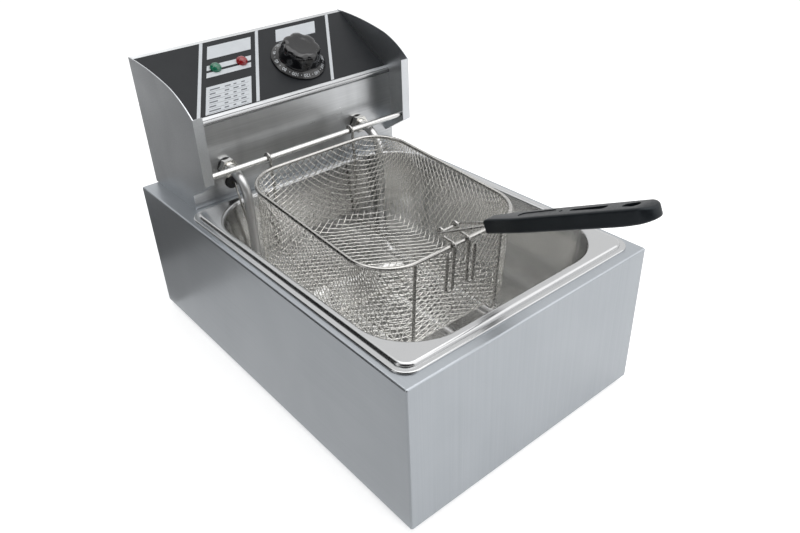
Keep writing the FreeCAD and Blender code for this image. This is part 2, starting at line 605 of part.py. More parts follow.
# Thermostat under the panel, held by two screws, with the shaft and the knob that turns it.
KNOB_PLACE = on_panel(size("knob_x"), size("knob_up"))
stat = new_body("stat")
stat_plan = sketch_on(stat, "XY_Plane", "-" + SHEET)
pad(stat, rectangle(stat_plan, "dims.stat_width", "dims.stat_length"), "dims.stat_depth", True)
pad(stat, circle(sketch_on(stat, "XY_Plane", "-" + SHEET), "dims.stat_neck"), "1.4 * " + SHEET)
SHAFT_SEAT, SHAFT_LENGTH = "-9", "26"
pocket(stat, circle(sketch_on(stat, "XY_Plane", SHAFT_SEAT), "dims.shaft_radius + 0.05"), "12", True)
taps = sketch_on(stat, "XY_Plane", "-6")
for side in SIDES:
    circle(taps, "dims.screw_radius + 0.05", "%d * dims.stat_screw_x" % side, "0")
pocket(stat, taps, "12", True)
finish(stat, "thermostat_body", KNOB_PLACE)
stat_screw = pan_screw("stat_screw", head_radius="3", head_height="1.6", reach="6")
group("thermostat_screws", stat_screw,
      [on_panel(value(x), value(up), size("overlay_gauge"), UPSIDE_DOWN) for x, up in STAT_SCREWS])
shaft_foot = KNOB_PLACE * Placement(Vector(0, 0, value(SHAFT_SEAT) + 0.5), Rotation())
cylinder("knob_shaft", "dims.shaft_radius", SHAFT_LENGTH, shaft_foot)

FLUTE_COUNT = 7
SKIRT, SKIRT_LOW, HANDGRIP = "dims.skirt_radius", "dims.skirt_low", "dims.grip_radius"
UNDER, CROWN = SKIRT_LOW + " + 4.4", "dims.knob_height"
FLUTE_FOOT = UNDER + " + 4.5"
knob = turned("knob", [("0", UNDER), (HANDGRIP + " - 2", UNDER), (SKIRT + " - 2", SKIRT_LOW),
                       (SKIRT, SKIRT_LOW), (SKIRT, SKIRT_LOW + " + 1.2"),
                       (HANDGRIP + " + 1", UNDER + " + 2.5"), (HANDGRIP, UNDER + " + 4"),
                       (HANDGRIP + " - 1.2", CROWN + " - 4"),
                       (HANDGRIP + " - 4.5", CROWN), ("0", CROWN)])
flute = circle(sketch_on(knob, "XY_Plane", FLUTE_FOOT), "dims.flute_radius",
               HANDGRIP + " + dims.flute_radius - dims.flute_depth")
scoop = pocket(knob, flute, CROWN, True)
flutes = knob.newObject("PartDesign::PolarPattern", "knob_flutes")
flutes.Originals = [scoop]
flutes.Axis = (origin_part(knob, "Z_Axis"), [""])
flutes.Angle = 360
flutes.Occurrences = FLUTE_COUNT
knob.Tip = flutes
socket = circle(sketch_on(knob, "XY_Plane", UNDER), "dims.shaft_radius")
pocket(knob, socket, "%s + 0.5 + %s - (%s)" % (SHAFT_SEAT, SHAFT_LENGTH, UNDER), True)
finish(knob, "thermostat_knob", KNOB_PLACE)

# Heating element: a bent tube from the two fittings down into the pan and to and fro on its floor.
element_mid, outer_run, inner_run = size("element_mid"), size("element_x"), size("element_inner_x")
element_top, element_low = size("element_z"), size("element_floor_z")
riser_y, tail_y, front_turn = size("riser_y"), size("element_tail"), size("element_front")
half_path = [(outer_run, tail_y, element_top), (outer_run, riser_y, element_top),
             (outer_run, riser_y, element_low), (outer_run, front_turn, element_low),
             (inner_run, front_turn, element_low), (inner_run, size("element_rear"), element_low)]
right_half = [Vector(element_mid + x, y, z) for x, y, z in half_path]
left_half = [Vector(element_mid - x, y, z) for x, y, z in reversed(half_path)]
tube = bent_wire(right_half + left_half, size("element_bend"), size("element_radius"))
wires("heating_element", [tube], APPLIANCE)

element_ends = [element_mid + side * outer_run for side in SIDES]
FITTINGS = [spot(x, size("neck_front"), element_top, TO_FRONT) for x in element_ends]
BORE, BUSH, FLANGE = "dims.element_radius + 0.05", "dims.bush_radius", "dims.bush_flange"
BUSH_INNER, FLANGE_LOW, FLANGE_TOP, BUSH_OUTER = "-12", "-4", "-1.05 * " + SHEET, "11"
bush = turned("bush", [(BORE, BUSH_INNER), (BUSH, BUSH_INNER), (BUSH, FLANGE_LOW), (FLANGE, FLANGE_LOW),
                       (FLANGE, FLANGE_TOP), (BUSH, FLANGE_TOP), (BUSH, BUSH_OUTER), (BORE, BUSH_OUTER)])
group("element_bushes", bush, FITTINGS)
RING = BUSH + " + 0.1"
gasket = turned("gasket", [(RING, "0"), (FLANGE, "0"), (FLANGE, SHEET), (RING, SHEET)])
group("element_gaskets", gasket, FITTINGS)
element_nut = hex_nut("element", "dims.nut_across", "dims.nut_length", BUSH + " + 0.05")
above_gasket = Placement(Vector(0, 0, size("sheet_gauge")), Rotation())
group("element_nuts", element_nut, [place * above_gasket for place in FITTINGS])
PIN, PIN_END = "dims.pin_radius", "dims.pin_length"
cold_pin = turned("cold_pin", [("0", "0"), (PIN, "0"), (PIN, PIN_END), ("0", PIN_END)])
group("element_terminals", cold_pin, [spot(x, tail_y, element_top, TO_REAR) for x in element_ends])

# Thermostat capillary through its grommet to the bulb, which two clips hold across the element.
THREAD, COLLAR = "dims.capillary_radius + 0.05", "dims.grommet_radius"
GROOVE, GROOVE_LOW, GROOVE_TOP = COLLAR + " - dims.grommet_groove", "-1.05 * " + SHEET, "0.05 * " + SHEET
grommet = turned("grommet", [(THREAD, "-3"), (COLLAR, "-3"), (COLLAR, GROOVE_LOW), (GROOVE, GROOVE_LOW),
                             (GROOVE, GROOVE_TOP), (COLLAR, GROOVE_TOP), (COLLAR, "1.6"), (THREAD, "1.6")])
capillary_x, capillary_z, bulb_y = size("capillary_x"), size("capillary_z"), size("bulb_y")
finish(grommet, "capillary_grommet", spot(capillary_x, size("neck_front"), capillary_z, TO_FRONT))
CLIP_DROP = "dims.element_radius + dims.bulb_radius + 1.5 * dims.clip_gauge"
bulb_z = element_low + value(CLIP_DROP)
bulb_end = element_mid - size("bulb_half")
capillary_path = [Vector(capillary_x, 160, capillary_z), Vector(capillary_x, 122, capillary_z),
                  Vector(-84, 106, 160), Vector(-85, 99, 145), Vector(-78, 98.5, 104), Vector(-71, 95, 64),
                  Vector(-66, 56, bulb_z), Vector(bulb_end - 10, bulb_y, bulb_z),
                  Vector(bulb_end, bulb_y, bulb_z)]
wires("capillary_tube", [bent_wire(capillary_path, 6, size("capillary_radius"))], APPLIANCE)
bulb_place = spot(bulb_end, bulb_y, bulb_z, TO_RIGHT)
cylinder("thermostat_bulb", "dims.bulb_radius", "2 * dims.bulb_half", bulb_place)

BAND, BAND_END = "dims.bulb_radius + 0.05", "dims.clip_width"
BAND_OUT = "dims.bulb_radius + dims.clip_gauge"
clip = turned("clip", [(BAND, "0"), (BAND_OUT, "0"), (BAND_OUT, BAND_END), (BAND, BAND_END)])
saddle = sketch_on(clip, "XZ_Plane", "-dims.clip_width / 2")
circle(saddle, "dims.element_radius + dims.clip_gauge", CLIP_DROP, "dims.clip_width / 2")
circle(saddle, "dims.element_radius + 0.05", CLIP_DROP, "dims.clip_width / 2")
pad(clip, saddle, BAND_END)
clip_spots = [element_mid + side * inner_run - size("clip_width") / 2 for side in SIDES]
group("bulb_clips", clip, [spot(x, bulb_y, bulb_z, TO_RIGHT) for x in clip_spots])

# What the head holds inside: cut-out, terminal block, leads, and the gland for the mains lead.
head_floor = deck_height + size("sheet_gauge")
limiter_place = spot(size("limiter_x"), size("limiter_y"), head_floor + size("limiter_up"))
block("limiter_body", length="30", width="44", height="26", place=limiter_place)
block_place = spot(head_middle, size("block_y"), head_floor)
block("terminal_block", length="64", width="22", height="dims.block_height", place=block_place)
pin_tip = tail_y + size("pin_length")
block_top = head_floor + size("block_height")
LEAD_SPREAD, LEAD_RUN = 22, 22
leads = []
for side, start_x in zip(SIDES, element_ends):
    end_x = head_middle + side * LEAD_SPREAD
    lead_path = [Vector(start_x, pin_tip, element_top), Vector(start_x, pin_tip + LEAD_RUN, element_top),
                 Vector(end_x, size("block_y"), element_top), Vector(end_x, size("block_y"), block_top)]
    leads.append(bent_wire(lead_path, size("lead_bend"), size("lead_radius")))
wires("lead_wires", leads, APPLIANCE)

GLAND, GLAND_NECK = "dims.gland_radius", "dims.gland_neck"
LEAD_BORE, GLAND_END = "dims.gland_bore", "dims.gland_length"
gland = turned("gland", [(LEAD_BORE, "-6"), (GLAND_NECK, "-6"), (GLAND_NECK, "0.05"), (GLAND, "0.05"),
                         (GLAND, "5"), (GLAND + " - 2", "6"), (GLAND + " - 2", "10"),
                         (GLAND + " - 4", GLAND_END), (LEAD_BORE, GLAND_END)])
gland_x, gland_z = size("gland_x"), size("gland_z")
finish(gland, "cable_gland", spot(gland_x, size("head_rear"), gland_z, TO_REAR))
locknut = hex_nut("gland", "dims.locknut_across", thickness="4", bore=GLAND_NECK + " + 0.05")
finish(locknut, "gland_locknut", spot(gland_x, size("head_rear") - 5.1, gland_z, TO_REAR))

# Basket: a rounded box of mesh, a rim wire, and two frame wires that end in hooks over the rod.
BASKET_WIDTH = "dims.basket_width - 2 * dims.rim_wire"
BASKET_LENGTH = "dims.basket_length - 2 * dims.rim_wire"
BASKET_CORNER = "dims.basket_corner - dims.rim_wire"
MESH = "dims.mesh_gauge"
basket_floor = -size("basket_depth")
RIM_CENTRE = BASKET * Placement(Vector(0, -size("basket_length") / 2, 0), Rotation())


def basket_solid(name, inset, depth, bend):
    """Rounded box from just under the rim wire down to a floor with a rounded edge."""
    body = new_body(name)
    plan = sketch_on(body, "XY_Plane", "-dims.mesh_top")
    rounded(plan, "%s - 2 * %s" % (BASKET_WIDTH, inset), "%s - 2 * %s" % (BASKET_LENGTH, inset),
            "%s - %s" % (BASKET_CORNER, inset))
    pad(body, plan, depth + " - dims.mesh_top", True)
    round_edges(body, bend, lambda edge: edge.BoundBox.ZMax < -value(depth) + 0.01)
    return body


mesh = basket_solid("mesh", "0", "dims.basket_depth", "dims.basket_floor_bend")
held = basket_solid("basket_room", MESH, "dims.basket_depth - " + MESH, "dims.basket_floor_bend - " + MESH)
hollow_out(mesh, held)
finish(mesh, "basket_mesh", RIM_CENTRE)

rim = new_body("rim")
rim_path = rounded(sketch_on(rim, "XY_Plane"), BASKET_WIDTH, BASKET_LENGTH, BASKET_CORNER)
rim_section = circle(sketch_on(rim, "XZ_Plane"), "dims.rim_wire", "(%s) / 2" % BASKET_WIDTH)
rim_pipe = rim.newObject("PartDesign::AdditivePipe", "rim_pipe")
rim_pipe.Profile = rim_section
rim_pipe.Spine = rim_path
finish(rim, "basket_rim", RIM_CENTRE)

rim_wire, frame_wire, gap = size("rim_wire"), size("frame_wire"), size("wire_gap")
rod_from_rim = Vector(0, size("rod_y") - BASKET_REAR.y, size("rod_z") - BASKET_REAR.z)
rod = HUNG.inverted().multVec(rod_from_rim)
hook_reach = size("rod_radius") + size("hook_gap") + frame_wire
hook_top, hook_end = rod.z + hook_reach, rod.z - size("hook_tail")
stem_y, hook_y = rod.y - hook_reach, rod.y + hook_reach
wall_front = -size("basket_length") + rim_wire - frame_wire - gap
wall_rear = -rim_wire + frame_wire + gap
under_rim = -rim_wire - 2 * gap
under_floor = basket_floor - frame_wire - gap
FRAME_ROUTE = [(wall_front, under_rim), (wall_front, under_floor), (wall_rear, under_floor),
               (wall_rear, -size("joggle_low")), (stem_y, -size("joggle_high")), (stem_y, hook_top),
               (hook_y, hook_top), (hook_y, hook_end)]
frame_wires = []
for side in SIDES:
    route = [Vector(side * size("hook_x"), y, z) for y, z in FRAME_ROUTE]
    frame_wires.append(bent_wire(route, hook_reach - 0.05, frame_wire))
wires("basket_frame_wires", frame_wires, BASKET)

# Brackets on the front wall: hairpins that go over the rim and hook round the fork's cross-bar.
bracket_y = -size("basket_length") - frame_wire - gap
bracket_x, leg_x, over_rim = size("bracket_x"), size("bracket_leg_x"), size("bracket_over")
bar_y, bar_z = size("fork_y"), size("fork_z")
bar_reach = size("fork_wire") + size("hook_gap") + frame_wire
BRACKET_ROUTE = [(leg_x, bracket_y, -size("bracket_low")), (leg_x, bracket_y, -size("bracket_drop")),
                 (bracket_x, bracket_y, -size("bracket_drop")), (bracket_x, bracket_y, over_rim),
                 (bracket_x, bar_y - bar_reach, over_rim), (bracket_x, bar_y - bar_reach, bar_z + bar_reach),
                 (bracket_x, bar_y + bar_reach, bar_z + bar_reach),
                 (bracket_x, bar_y + bar_reach, bar_z - size("bracket_tail"))]
brackets = []
for side in SIDES:
    route = [Vector(side * x, y, z) for x, y, z in BRACKET_ROUTE]
    brackets.append(bent_wire(route, bar_reach - 0.05, frame_wire))
wires("basket_brackets", brackets, BASKET)

# Handle: a fork of bent wire whose prongs are held in a moulded grip.
GRIP_FROM_RIM = BASKET.inverse() * GRIP
fork_path = []
for side, order in ((-1, 1), (1, -1)):
    prong_x = side * size("prong_x")
    buried = GRIP_FROM_RIM.multVec(Vector(prong_x, -size("prong_depth"), 0))
    entry = GRIP_FROM_RIM.multVec(Vector(prong_x, 0, 0))
    corner = Vector(side * size("fork_half"), bar_y, bar_z)
    fork_path += [buried, entry, corner][::order]
wires("handle_fork", [bent_wire(fork_path, 2 * size("fork_wire"), size("fork_wire"))], BASKET)

HANDLE_THICK = "dims.handle_thickness"
HANDLE_UNDER = "-%s / 2" % HANDLE_THICK
HALF_NECK, HALF_GRIP, SWELL = "dims.handle_neck / 2", "dims.handle_width / 2", "-dims.handle_swell"
ROUND_FROM = "dims.handle_round - dims.handle_length"
ROUND_END = "((%s) ^ 2 + dims.handle_round ^ 2) / (2 * dims.handle_round)" % HALF_GRIP
GRIP_PLAN = [("-" + HALF_NECK, "0"), ("-" + HALF_GRIP, SWELL), ("-" + HALF_GRIP, ROUND_FROM),
             (HALF_GRIP, ROUND_FROM), (HALF_GRIP, SWELL), (HALF_NECK, "0")]
grip = new_body("grip")
pad(grip, outline(sketch_on(grip, "XY_Plane", HANDLE_UNDER), GRIP_PLAN, {2: ROUND_END}), HANDLE_THICK)
round_edges(grip, "dims.handle_edge", lambda edge: edge.BoundBox.ZLength < 0.01)
gaps = sketch_on(grip, "XY_Plane", HANDLE_UNDER)
rounded(gaps, "dims.slot_width", "dims.slot_length", "dims.slot_corner", "-dims.slot_along")
rounded(gaps, "dims.eye_width", "dims.eye_length", "dims.eye_corner", "-dims.eye_along")
pocket(grip, gaps, HANDLE_THICK, True)
prong_holes = sketch_on(grip, "XZ_Plane")
for side in SIDES:
    circle(prong_holes, "dims.fork_wire", "%d * dims.prong_x" % side, "0")
pocket(grip, prong_holes, "dims.prong_depth", True)
finish(grip, "handle_grip", GRIP)

doc.recompute()
for item in doc.Objects:
    if "Invalid" in item.State or "Error" in item.State:
        raise RuntimeError("failed object: %s" % item.Label)
for piece in finished:
    if piece.Shape.isNull() or not piece.Shape.isValid():
        raise RuntimeError("bad shape: %s" % piece.Label)

os.makedirs("parts", exist_ok=True)
for piece in finished:
    piece.Shape.exportStep("parts/%s.step" % piece.Label)
whole = Part.makeCompound([piece.Shape for piece in finished]).BoundBox
print("pieces", len(finished), "box", whole)
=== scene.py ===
import json
import math

import bmesh
import bpy
import numpy as np
from mathutils import Euler, Matrix, Vector


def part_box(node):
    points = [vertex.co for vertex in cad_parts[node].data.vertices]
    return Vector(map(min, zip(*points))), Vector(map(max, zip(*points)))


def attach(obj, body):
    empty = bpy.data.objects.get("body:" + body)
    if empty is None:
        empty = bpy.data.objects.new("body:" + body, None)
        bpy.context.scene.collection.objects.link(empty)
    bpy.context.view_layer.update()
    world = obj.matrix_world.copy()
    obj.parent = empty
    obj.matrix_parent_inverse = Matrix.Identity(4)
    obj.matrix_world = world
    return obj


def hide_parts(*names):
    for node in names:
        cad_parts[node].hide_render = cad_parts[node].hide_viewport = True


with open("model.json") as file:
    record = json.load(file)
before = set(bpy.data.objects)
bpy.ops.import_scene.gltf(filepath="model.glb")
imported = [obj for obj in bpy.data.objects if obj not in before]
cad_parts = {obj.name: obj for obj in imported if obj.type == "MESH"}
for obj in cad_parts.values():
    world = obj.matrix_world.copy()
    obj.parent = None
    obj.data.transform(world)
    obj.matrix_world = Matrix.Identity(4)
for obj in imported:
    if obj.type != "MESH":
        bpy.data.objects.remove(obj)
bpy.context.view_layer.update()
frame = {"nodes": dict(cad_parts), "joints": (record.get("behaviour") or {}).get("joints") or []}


# Casing: a box folded from one sheet of stainless steel, open at the top for the pan.
# The sheet is brushed along its length, so the grain runs along the top and the long
# sides, and turns upright where the front and the back are folded down.
def new_finish(name, **constants):
    """A material, its node tree and its shader, with the shader's constant sockets set."""
    finish = bpy.data.materials.new(name)
    finish.use_nodes = True
    tree = finish.node_tree
    shader = tree.nodes["Principled BSDF"]
    for socket, value in constants.items():
        shader.inputs[socket.replace("_", " ")].default_value = value
    return finish, tree, shader


def add_node(tree, kind, inputs, **settings):
    """A node with its settings, and each input either a constant or a link from another node."""
    node = tree.nodes.new("ShaderNode" + kind)
    for setting, value in settings.items():
        setattr(node, setting, value)
    for socket, value in inputs.items():
        if isinstance(value, bpy.types.NodeSocket):
            tree.links.new(value, node.inputs[socket])
        else:
            node.inputs[socket].default_value = value
    return node


def on_piece(tree):
    """The piece's own coordinates, in metres."""
    return add_node(tree, "TexCoord", {}).outputs["Object"]


def speckle(tree, per_metre, detail=3.0, distortion=0.0):
    """Noise with so many cells per metre: one number, or one each for X, Y and Z."""
    cells = per_metre if isinstance(per_metre, tuple) else (per_metre,) * 3
    stretched = add_node(tree, "Mapping", {"Vector": on_piece(tree), "Scale": cells})
    noise = add_node(tree, "TexNoise", {
        "Vector": stretched.outputs["Vector"], "Scale": 1.0, "Detail": detail, "Distortion": distortion})
    return noise.outputs["Fac"]


def spread(tree, pattern, at_low, at_high):
    """Stretches a pattern of noise, so that its low and high parts get these values."""
    noise_low, noise_high = 0.3, 0.7
    node = add_node(tree, "MapRange", {
        "Value": pattern, "From Min": noise_low, "From Max": noise_high, "To Min": at_low, "To Max": at_high})
    return node.outputs["Result"]


def between(tree, pattern, at_low, at_high):
    """Turns a pattern into colours between two, which are plain or come from other nodes."""
    low_socket, high_socket, colour_socket = 6, 7, 2
    inputs = {"Factor": pattern}
    for socket, colour in ((low_socket, at_low), (high_socket, at_high)):
        inputs[socket] = colour if isinstance(colour, bpy.types.NodeSocket) else (*colour, 1)
    return add_node(tree, "Mix", inputs, data_type="RGBA").outputs[colour_socket]


def average(tree, first, second):
    """The mean of two patterns."""
    total = add_node(tree, "Math", {0: first, 1: second}, operation="ADD")
    half = add_node(tree, "Math", {0: total.outputs["Value"], 1: 0.5}, operation="MULTIPLY")
    return half.outputs["Value"]


def tint(tree, shader, pattern, at_low, at_high):
    """Colours the surface by a pattern."""
    tree.links.new(between(tree, pattern, at_low, at_high), shader.inputs["Base Color"])


def roughen(tree, shader, pattern, at_low, at_high):
    """Gives the surface its roughness by a pattern."""
    tree.links.new(spread(tree, pattern, at_low, at_high), shader.inputs["Roughness"])


def relief(tree, shader, pattern, strength, height):
    """Raises a fine pattern on the surface."""
    bump = add_node(tree, "Bump", {"Height": pattern, "Strength": strength, "Distance": height})
    tree.links.new(bump.outputs["Normal"], shader.inputs["Normal"])


def wear(finish, *nodes):
    """Gives pieces of the frame their finish."""
    for node in nodes:
        frame["nodes"][node].material_slots[0].material = finish


def brushed_steel(name, dark, light, smooth, rough, along, upright, smudge):
    """Sheet steel with fine grain: one way on faces that look to the front or the back, another elsewhere."""
    end_facing, grain_detail, grain_strength, grain_height = 0.8, 4.0, 0.03, 0.0002
    along_socket, upright_socket = 2, 3
    finish, tree, shader = new_finish(name, Metallic=1.0)
    facing = add_node(tree, "SeparateXYZ", {"Vector": add_node(tree, "NewGeometry", {}).outputs["Normal"]})
    lengthwise = add_node(tree, "Math", {0: facing.outputs["Y"]}, operation="ABSOLUTE")
    is_end = add_node(tree, "Math", {0: lengthwise.outputs["Value"], 1: end_facing}, operation="GREATER_THAN")
    lines = add_node(tree, "Mix", {
        "Factor": is_end.outputs["Value"],
        along_socket: speckle(tree, along, grain_detail),
        upright_socket: speckle(tree, upright, grain_detail)}).outputs["Result"]
    uneven = average(tree, lines, speckle(tree, smudge, distortion=0.6))
    tint(tree, shader, spread(tree, uneven, 0, 1), dark, light)
    roughen(tree, shader, uneven, rough, smooth)
    relief(tree, shader, lines, grain_strength, grain_height)
    return finish


casing_finish = brushed_steel(
    "casing_steel", dark=(0.400, 0.425, 0.452), light=(0.440, 0.465, 0.492), smooth=0.30, rough=0.38,
    along=(900, 5, 900), upright=(900, 900, 5), smudge=(14, 14, 9))
wear(casing_finish, "casing_shell")


# Base plate: a plain galvanised sheet that closes the casing from below.
# Eight screws hold it to the casing's folded-in edges.
def flakes(tree, per_metre):
    """Many-sided cells, as in zinc or pebbled plastic."""
    return add_node(tree, "TexVoronoi", {"Vector": on_piece(tree), "Scale": per_metre})


base_finish, tree, shader = new_finish("base_steel", Metallic=1.0)
spangle = add_node(tree, "SeparateXYZ", {"Vector": flakes(tree, per_metre=120.0).outputs["Color"]})
tint(tree, shader, spangle.outputs["X"], at_low=(0.40, 0.42, 0.44), at_high=(0.56, 0.58, 0.60))
roughen(tree, shader, speckle(tree, 60), at_low=0.38, at_high=0.55)
wear(base_finish, "base_plate")


# Feet: four moulded rubber buffers, each held by a screw and a nut through the base plate.
# The rubber is dull, with the grain of the mould and paler dusty patches.
def mottled(name, patches, dark, light, scuffs, smooth, rough, detail=3.0,
            grain=None, grain_strength=0.0, grain_height=0.0, **constants):
    """A finish with patches of colour, finer scuffs of roughness and, where it has one, a raised grain."""
    finish, tree, shader = new_finish(name, **constants)
    tint(tree, shader, speckle(tree, patches, detail), dark, light)
    roughen(tree, shader, speckle(tree, scuffs), smooth, rough)
    if grain:
        relief(tree, shader, speckle(tree, grain), grain_strength, grain_height)
    return finish


foot_finish = mottled(
    "foot_rubber", patches=90, dark=(0.012, 0.012, 0.013), light=(0.035, 0.035, 0.036),
    scuffs=300, smooth=0.62, rough=0.82, grain=1400, grain_strength=0.25, grain_height=0.0003)
wear(foot_finish, "feet")

# Fasteners and small fittings: screws, nuts, bushes, terminals, clips and the knob's shaft, turned
# or pressed from steel. They are nickel-plated, so they stay bright and are only a little scuffed.
fastener_finish = mottled(
    "fastener_steel", patches=220, dark=(0.66, 0.65, 0.62), light=(0.82, 0.81, 0.78),
    scuffs=700, smooth=0.14, rough=0.28, grain=1500, grain_strength=0.06, grain_height=0.0002, Metallic=1.0)
wear(fastener_finish, "foot_screws", "foot_nuts", "base_screws", "rear_cover_screws", "thermostat_screws",
     "knob_shaft", "element_nuts", "element_bushes", "element_terminals", "bulb_clips")

# Oil pan: deep-drawn from stainless sheet, with a stepped rim that rests on the casing.
# The walls and the floor below the rim are painted lighter than the rim, as painted light that bounces round
# inside the pan.
pan_finish, tree, shader = new_finish("pan_steel", Metallic=1.0)
rim_depth, bounce_light_fade = 0.010, 0.012
rim_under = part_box("oil_pan")[1].z - rim_depth
height = add_node(tree, "SeparateXYZ", {"Vector": on_piece(tree)})
# painted light: below the rim the pan's colour fades to a lighter tone, for light bounced round inside it
bounce_lit = add_node(tree, "MapRange", {
    "Value": height.outputs["Z"], "From Min": rim_under, "From Max": rim_under - bounce_light_fade})
clouds = speckle(tree, (11, 11, 16), detail=4.0, distortion=0.8)
rim_tone = between(tree, clouds, at_low=(0.50, 0.505, 0.51), at_high=(0.58, 0.585, 0.59))
bounce_lit_tone = between(tree, clouds, at_low=(0.72, 0.72, 0.71), at_high=(0.80, 0.80, 0.79))
tint(tree, shader, bounce_lit.outputs["Result"], at_low=rim_tone, at_high=bounce_lit_tone)
roughen(tree, shader, clouds, at_low=0.26, at_high=0.18)
relief(tree, shader, speckle(tree, (500, 500, 12), detail=2.0), strength=0.05, height=0.0002)
wear(pan_finish, "oil_pan")

# Head: the lift-off box behind the pan, screwed together from folded stainless sheets.
# The cheeks have an even fine mottle from the rolling; the plates between them are brushed
# from side to side, with upright smudges where they are wiped.
cheek_finish, tree, shader = new_finish("head_cheek_steel", Metallic=1.0)
mottle = speckle(tree, 700, detail=2.0, distortion=0.3)
uneven = average(tree, mottle, speckle(tree, 18, distortion=0.6))
tint(tree, shader, spread(tree, uneven, 0, 1), at_low=(0.55, 0.57, 0.59), at_high=(0.66, 0.68, 0.70))
roughen(tree, shader, uneven, at_low=0.40, at_high=0.30)
wear(cheek_finish, "head_left_cheek", "head_right_cheek")

plate_finish = brushed_steel(
    "head_plate_steel", dark=(0.44, 0.45, 0.46), light=(0.59, 0.60, 0.61), smooth=0.26, rough=0.34,
    along=(9, 590, 590), upright=(9, 590, 590), smudge=(38, 38, 7))
wear(plate_finish, "head_front_plate", "head_floor", "rear_cover", "control_deck")

# Drip lip: a strip of stainless sheet rolled into a round edge along the foot of the deck, so that
# drops fall back into the pan. It is smoother than the plates, and painted darker as painted shade
# for the crevice along the deck's edge and for a dimmer highlight on the roll.
# painted shade: the lip's steel is darker than the plates', for the crevice and a dimmer highlight
shaded_lip_finish = brushed_steel(
    "lip_steel", dark=(0.30, 0.305, 0.31), light=(0.38, 0.385, 0.39), smooth=0.18, rough=0.26,
    along=(14, 700, 700), upright=(14, 700, 700), smudge=(20, 20, 12))
wear(shaded_lip_finish, "drip_lip")

# Control overlay: a charcoal film stuck on the sloping deck, with white printing.
# Its satin surface shows a fine even grain.
overlay_finish = mottled(
    "panel_black", patches=60, detail=4.0, dark=(0.012, 0.0135, 0.016), light=(0.018, 0.020, 0.023),
    scuffs=900, smooth=0.34, rough=0.46, grain=2500, grain_strength=0.05, grain_height=0.0001,
    Specular_IOR_Level=0.22)
wear(overlay_finish, "panel_overlay")

# Printing on the overlay: three leaning white stripes, two broad blank bars, two narrow bars at the
# lamps and a ruled table. Each patch of ink is a thin leaning tile on the film.
knob_joint = next(joint for joint in frame["joints"] if joint["name"] == "knob_turn")
panel_normal = -Vector(knob_joint["axis"]).normalized()
panel_up = panel_normal.cross(Vector((1, 0, 0)))
knob_up = 0.0452
panel_corner = Vector(knob_joint["pos_m"]) - knob_up * panel_up
panel_corner.x = 0
panel_frame = Matrix.Translation(panel_corner) @ Matrix((
    (1, panel_up.x, panel_normal.x, 0),
    (0, panel_up.y, panel_normal.y, 0),
    (0, panel_up.z, panel_normal.z, 0),
    (0, 0, 0, 1)))
print_lean, ink_thickness = 0.57, 0.00004
film_top = 0.0005
white_top, grey_top = film_top + 0.00006, film_top + 0.0001


def ink_patch(mesh, left, low, width, height, top):
    """A leaning tile of ink: left is its place along the panel's lower edge, low its height above that."""
    half = 0.5
    for corner in bmesh.ops.create_cube(mesh, size=2 * half)["verts"]:
        up = low + (corner.co.y + half) * height
        across = left + print_lean * up + (corner.co.x + half) * width
        corner.co = (across, up, top + (corner.co.z - half) * ink_thickness)


def placed_mesh(name, mesh, place, finish, body, smooth=False):
    """Finishes a bmesh as a piece in its place, riding on a body of the frame."""
    bmesh.ops.transform(mesh, matrix=place, verts=mesh.verts)
    data = bpy.data.meshes.new(name)
    mesh.to_mesh(data)
    mesh.free()
    data.polygons.foreach_set("use_smooth", [smooth] * len(data.polygons))
    data.materials.append(finish)
    piece = bpy.data.objects.new(name, data)
    bpy.context.scene.collection.objects.link(piece)
    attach(piece, body)
    return piece


white_ink = mottled(
    "white_ink", patches=150, detail=4.0, dark=(0.58, 0.61, 0.64), light=(0.68, 0.71, 0.74),
    scuffs=900, smooth=0.36, rough=0.5)
stripe_low, stripe_width, stripe_height = 0.0072, 0.0039, 0.0920
stripe_lefts = (-0.1032, -0.0362, 0.0572)
lamp_column, knob_column, column_width = -0.0937, -0.0100, 0.0520
broad_bar, upper_bar, lower_bar = (0.0760, 0.0168), (0.0616, 0.0062), (0.0525, 0.0062)
table_ground, knob_bar = (0.0078, 0.0332), (0.0772, 0.0170)
white_patches = bmesh.new()
for left in stripe_lefts:
    ink_patch(white_patches, left, stripe_low, stripe_width, stripe_height, white_top)
for low, height in (broad_bar, upper_bar, lower_bar, table_ground):
    ink_patch(white_patches, lamp_column, low, column_width, height, white_top)
low, height = knob_bar
ink_patch(white_patches, knob_column, low, column_width, height, white_top)
placed_mesh("panel_white_print", white_patches, panel_frame, white_ink, "head")

grey_ink = mottled(
    "grey_ink", patches=300, dark=(0.10, 0.11, 0.13), light=(0.17, 0.18, 0.20),
    scuffs=900, smooth=0.4, rough=0.5)
table_rows, table_low, row_height = 6, 0.0094, 0.0051
rule_inset, rule_drop, rule_length, rule_weight = 0.003, 0.0006, 0.0460, 0.0003
bar_columns = ((0.004, 0.013), (0.021, 0.007), (0.031, 0.006), (0.040, 0.007))
bar_rise, bar_weight, bar_mean, bar_swing = 0.0012, 0.0015, 0.75, 0.25
row_beat, column_beat = 2.3, 1.7
table_ink = bmesh.new()
for row in range(table_rows):
    low = table_low + row * row_height
    ink_patch(table_ink, lamp_column + rule_inset, low - rule_drop, rule_length, rule_weight, grey_top)
    for column, (start, length) in enumerate(bar_columns):
        reach = length * (bar_mean + bar_swing * math.cos(row_beat * row + column_beat * column))
        ink_patch(table_ink, lamp_column + start, low + bar_rise, reach, bar_weight, grey_top)
placed_mesh("panel_table_print", table_ink, panel_frame, grey_ink, "head")

# Basket rod: a ground stainless bar fixed across the head from cheek to cheek.
# The hooks of the basket's frame hang over it. Its fine marks run along it.
rod_finish = mottled(
    "rod_steel", patches=(40, 700, 700), dark=(0.60, 0.60, 0.59), light=(0.72, 0.72, 0.70),
    scuffs=(60, 900, 900), smooth=0.16, rough=0.30, Metallic=1.0)
wear(rod_finish, "basket_rod")


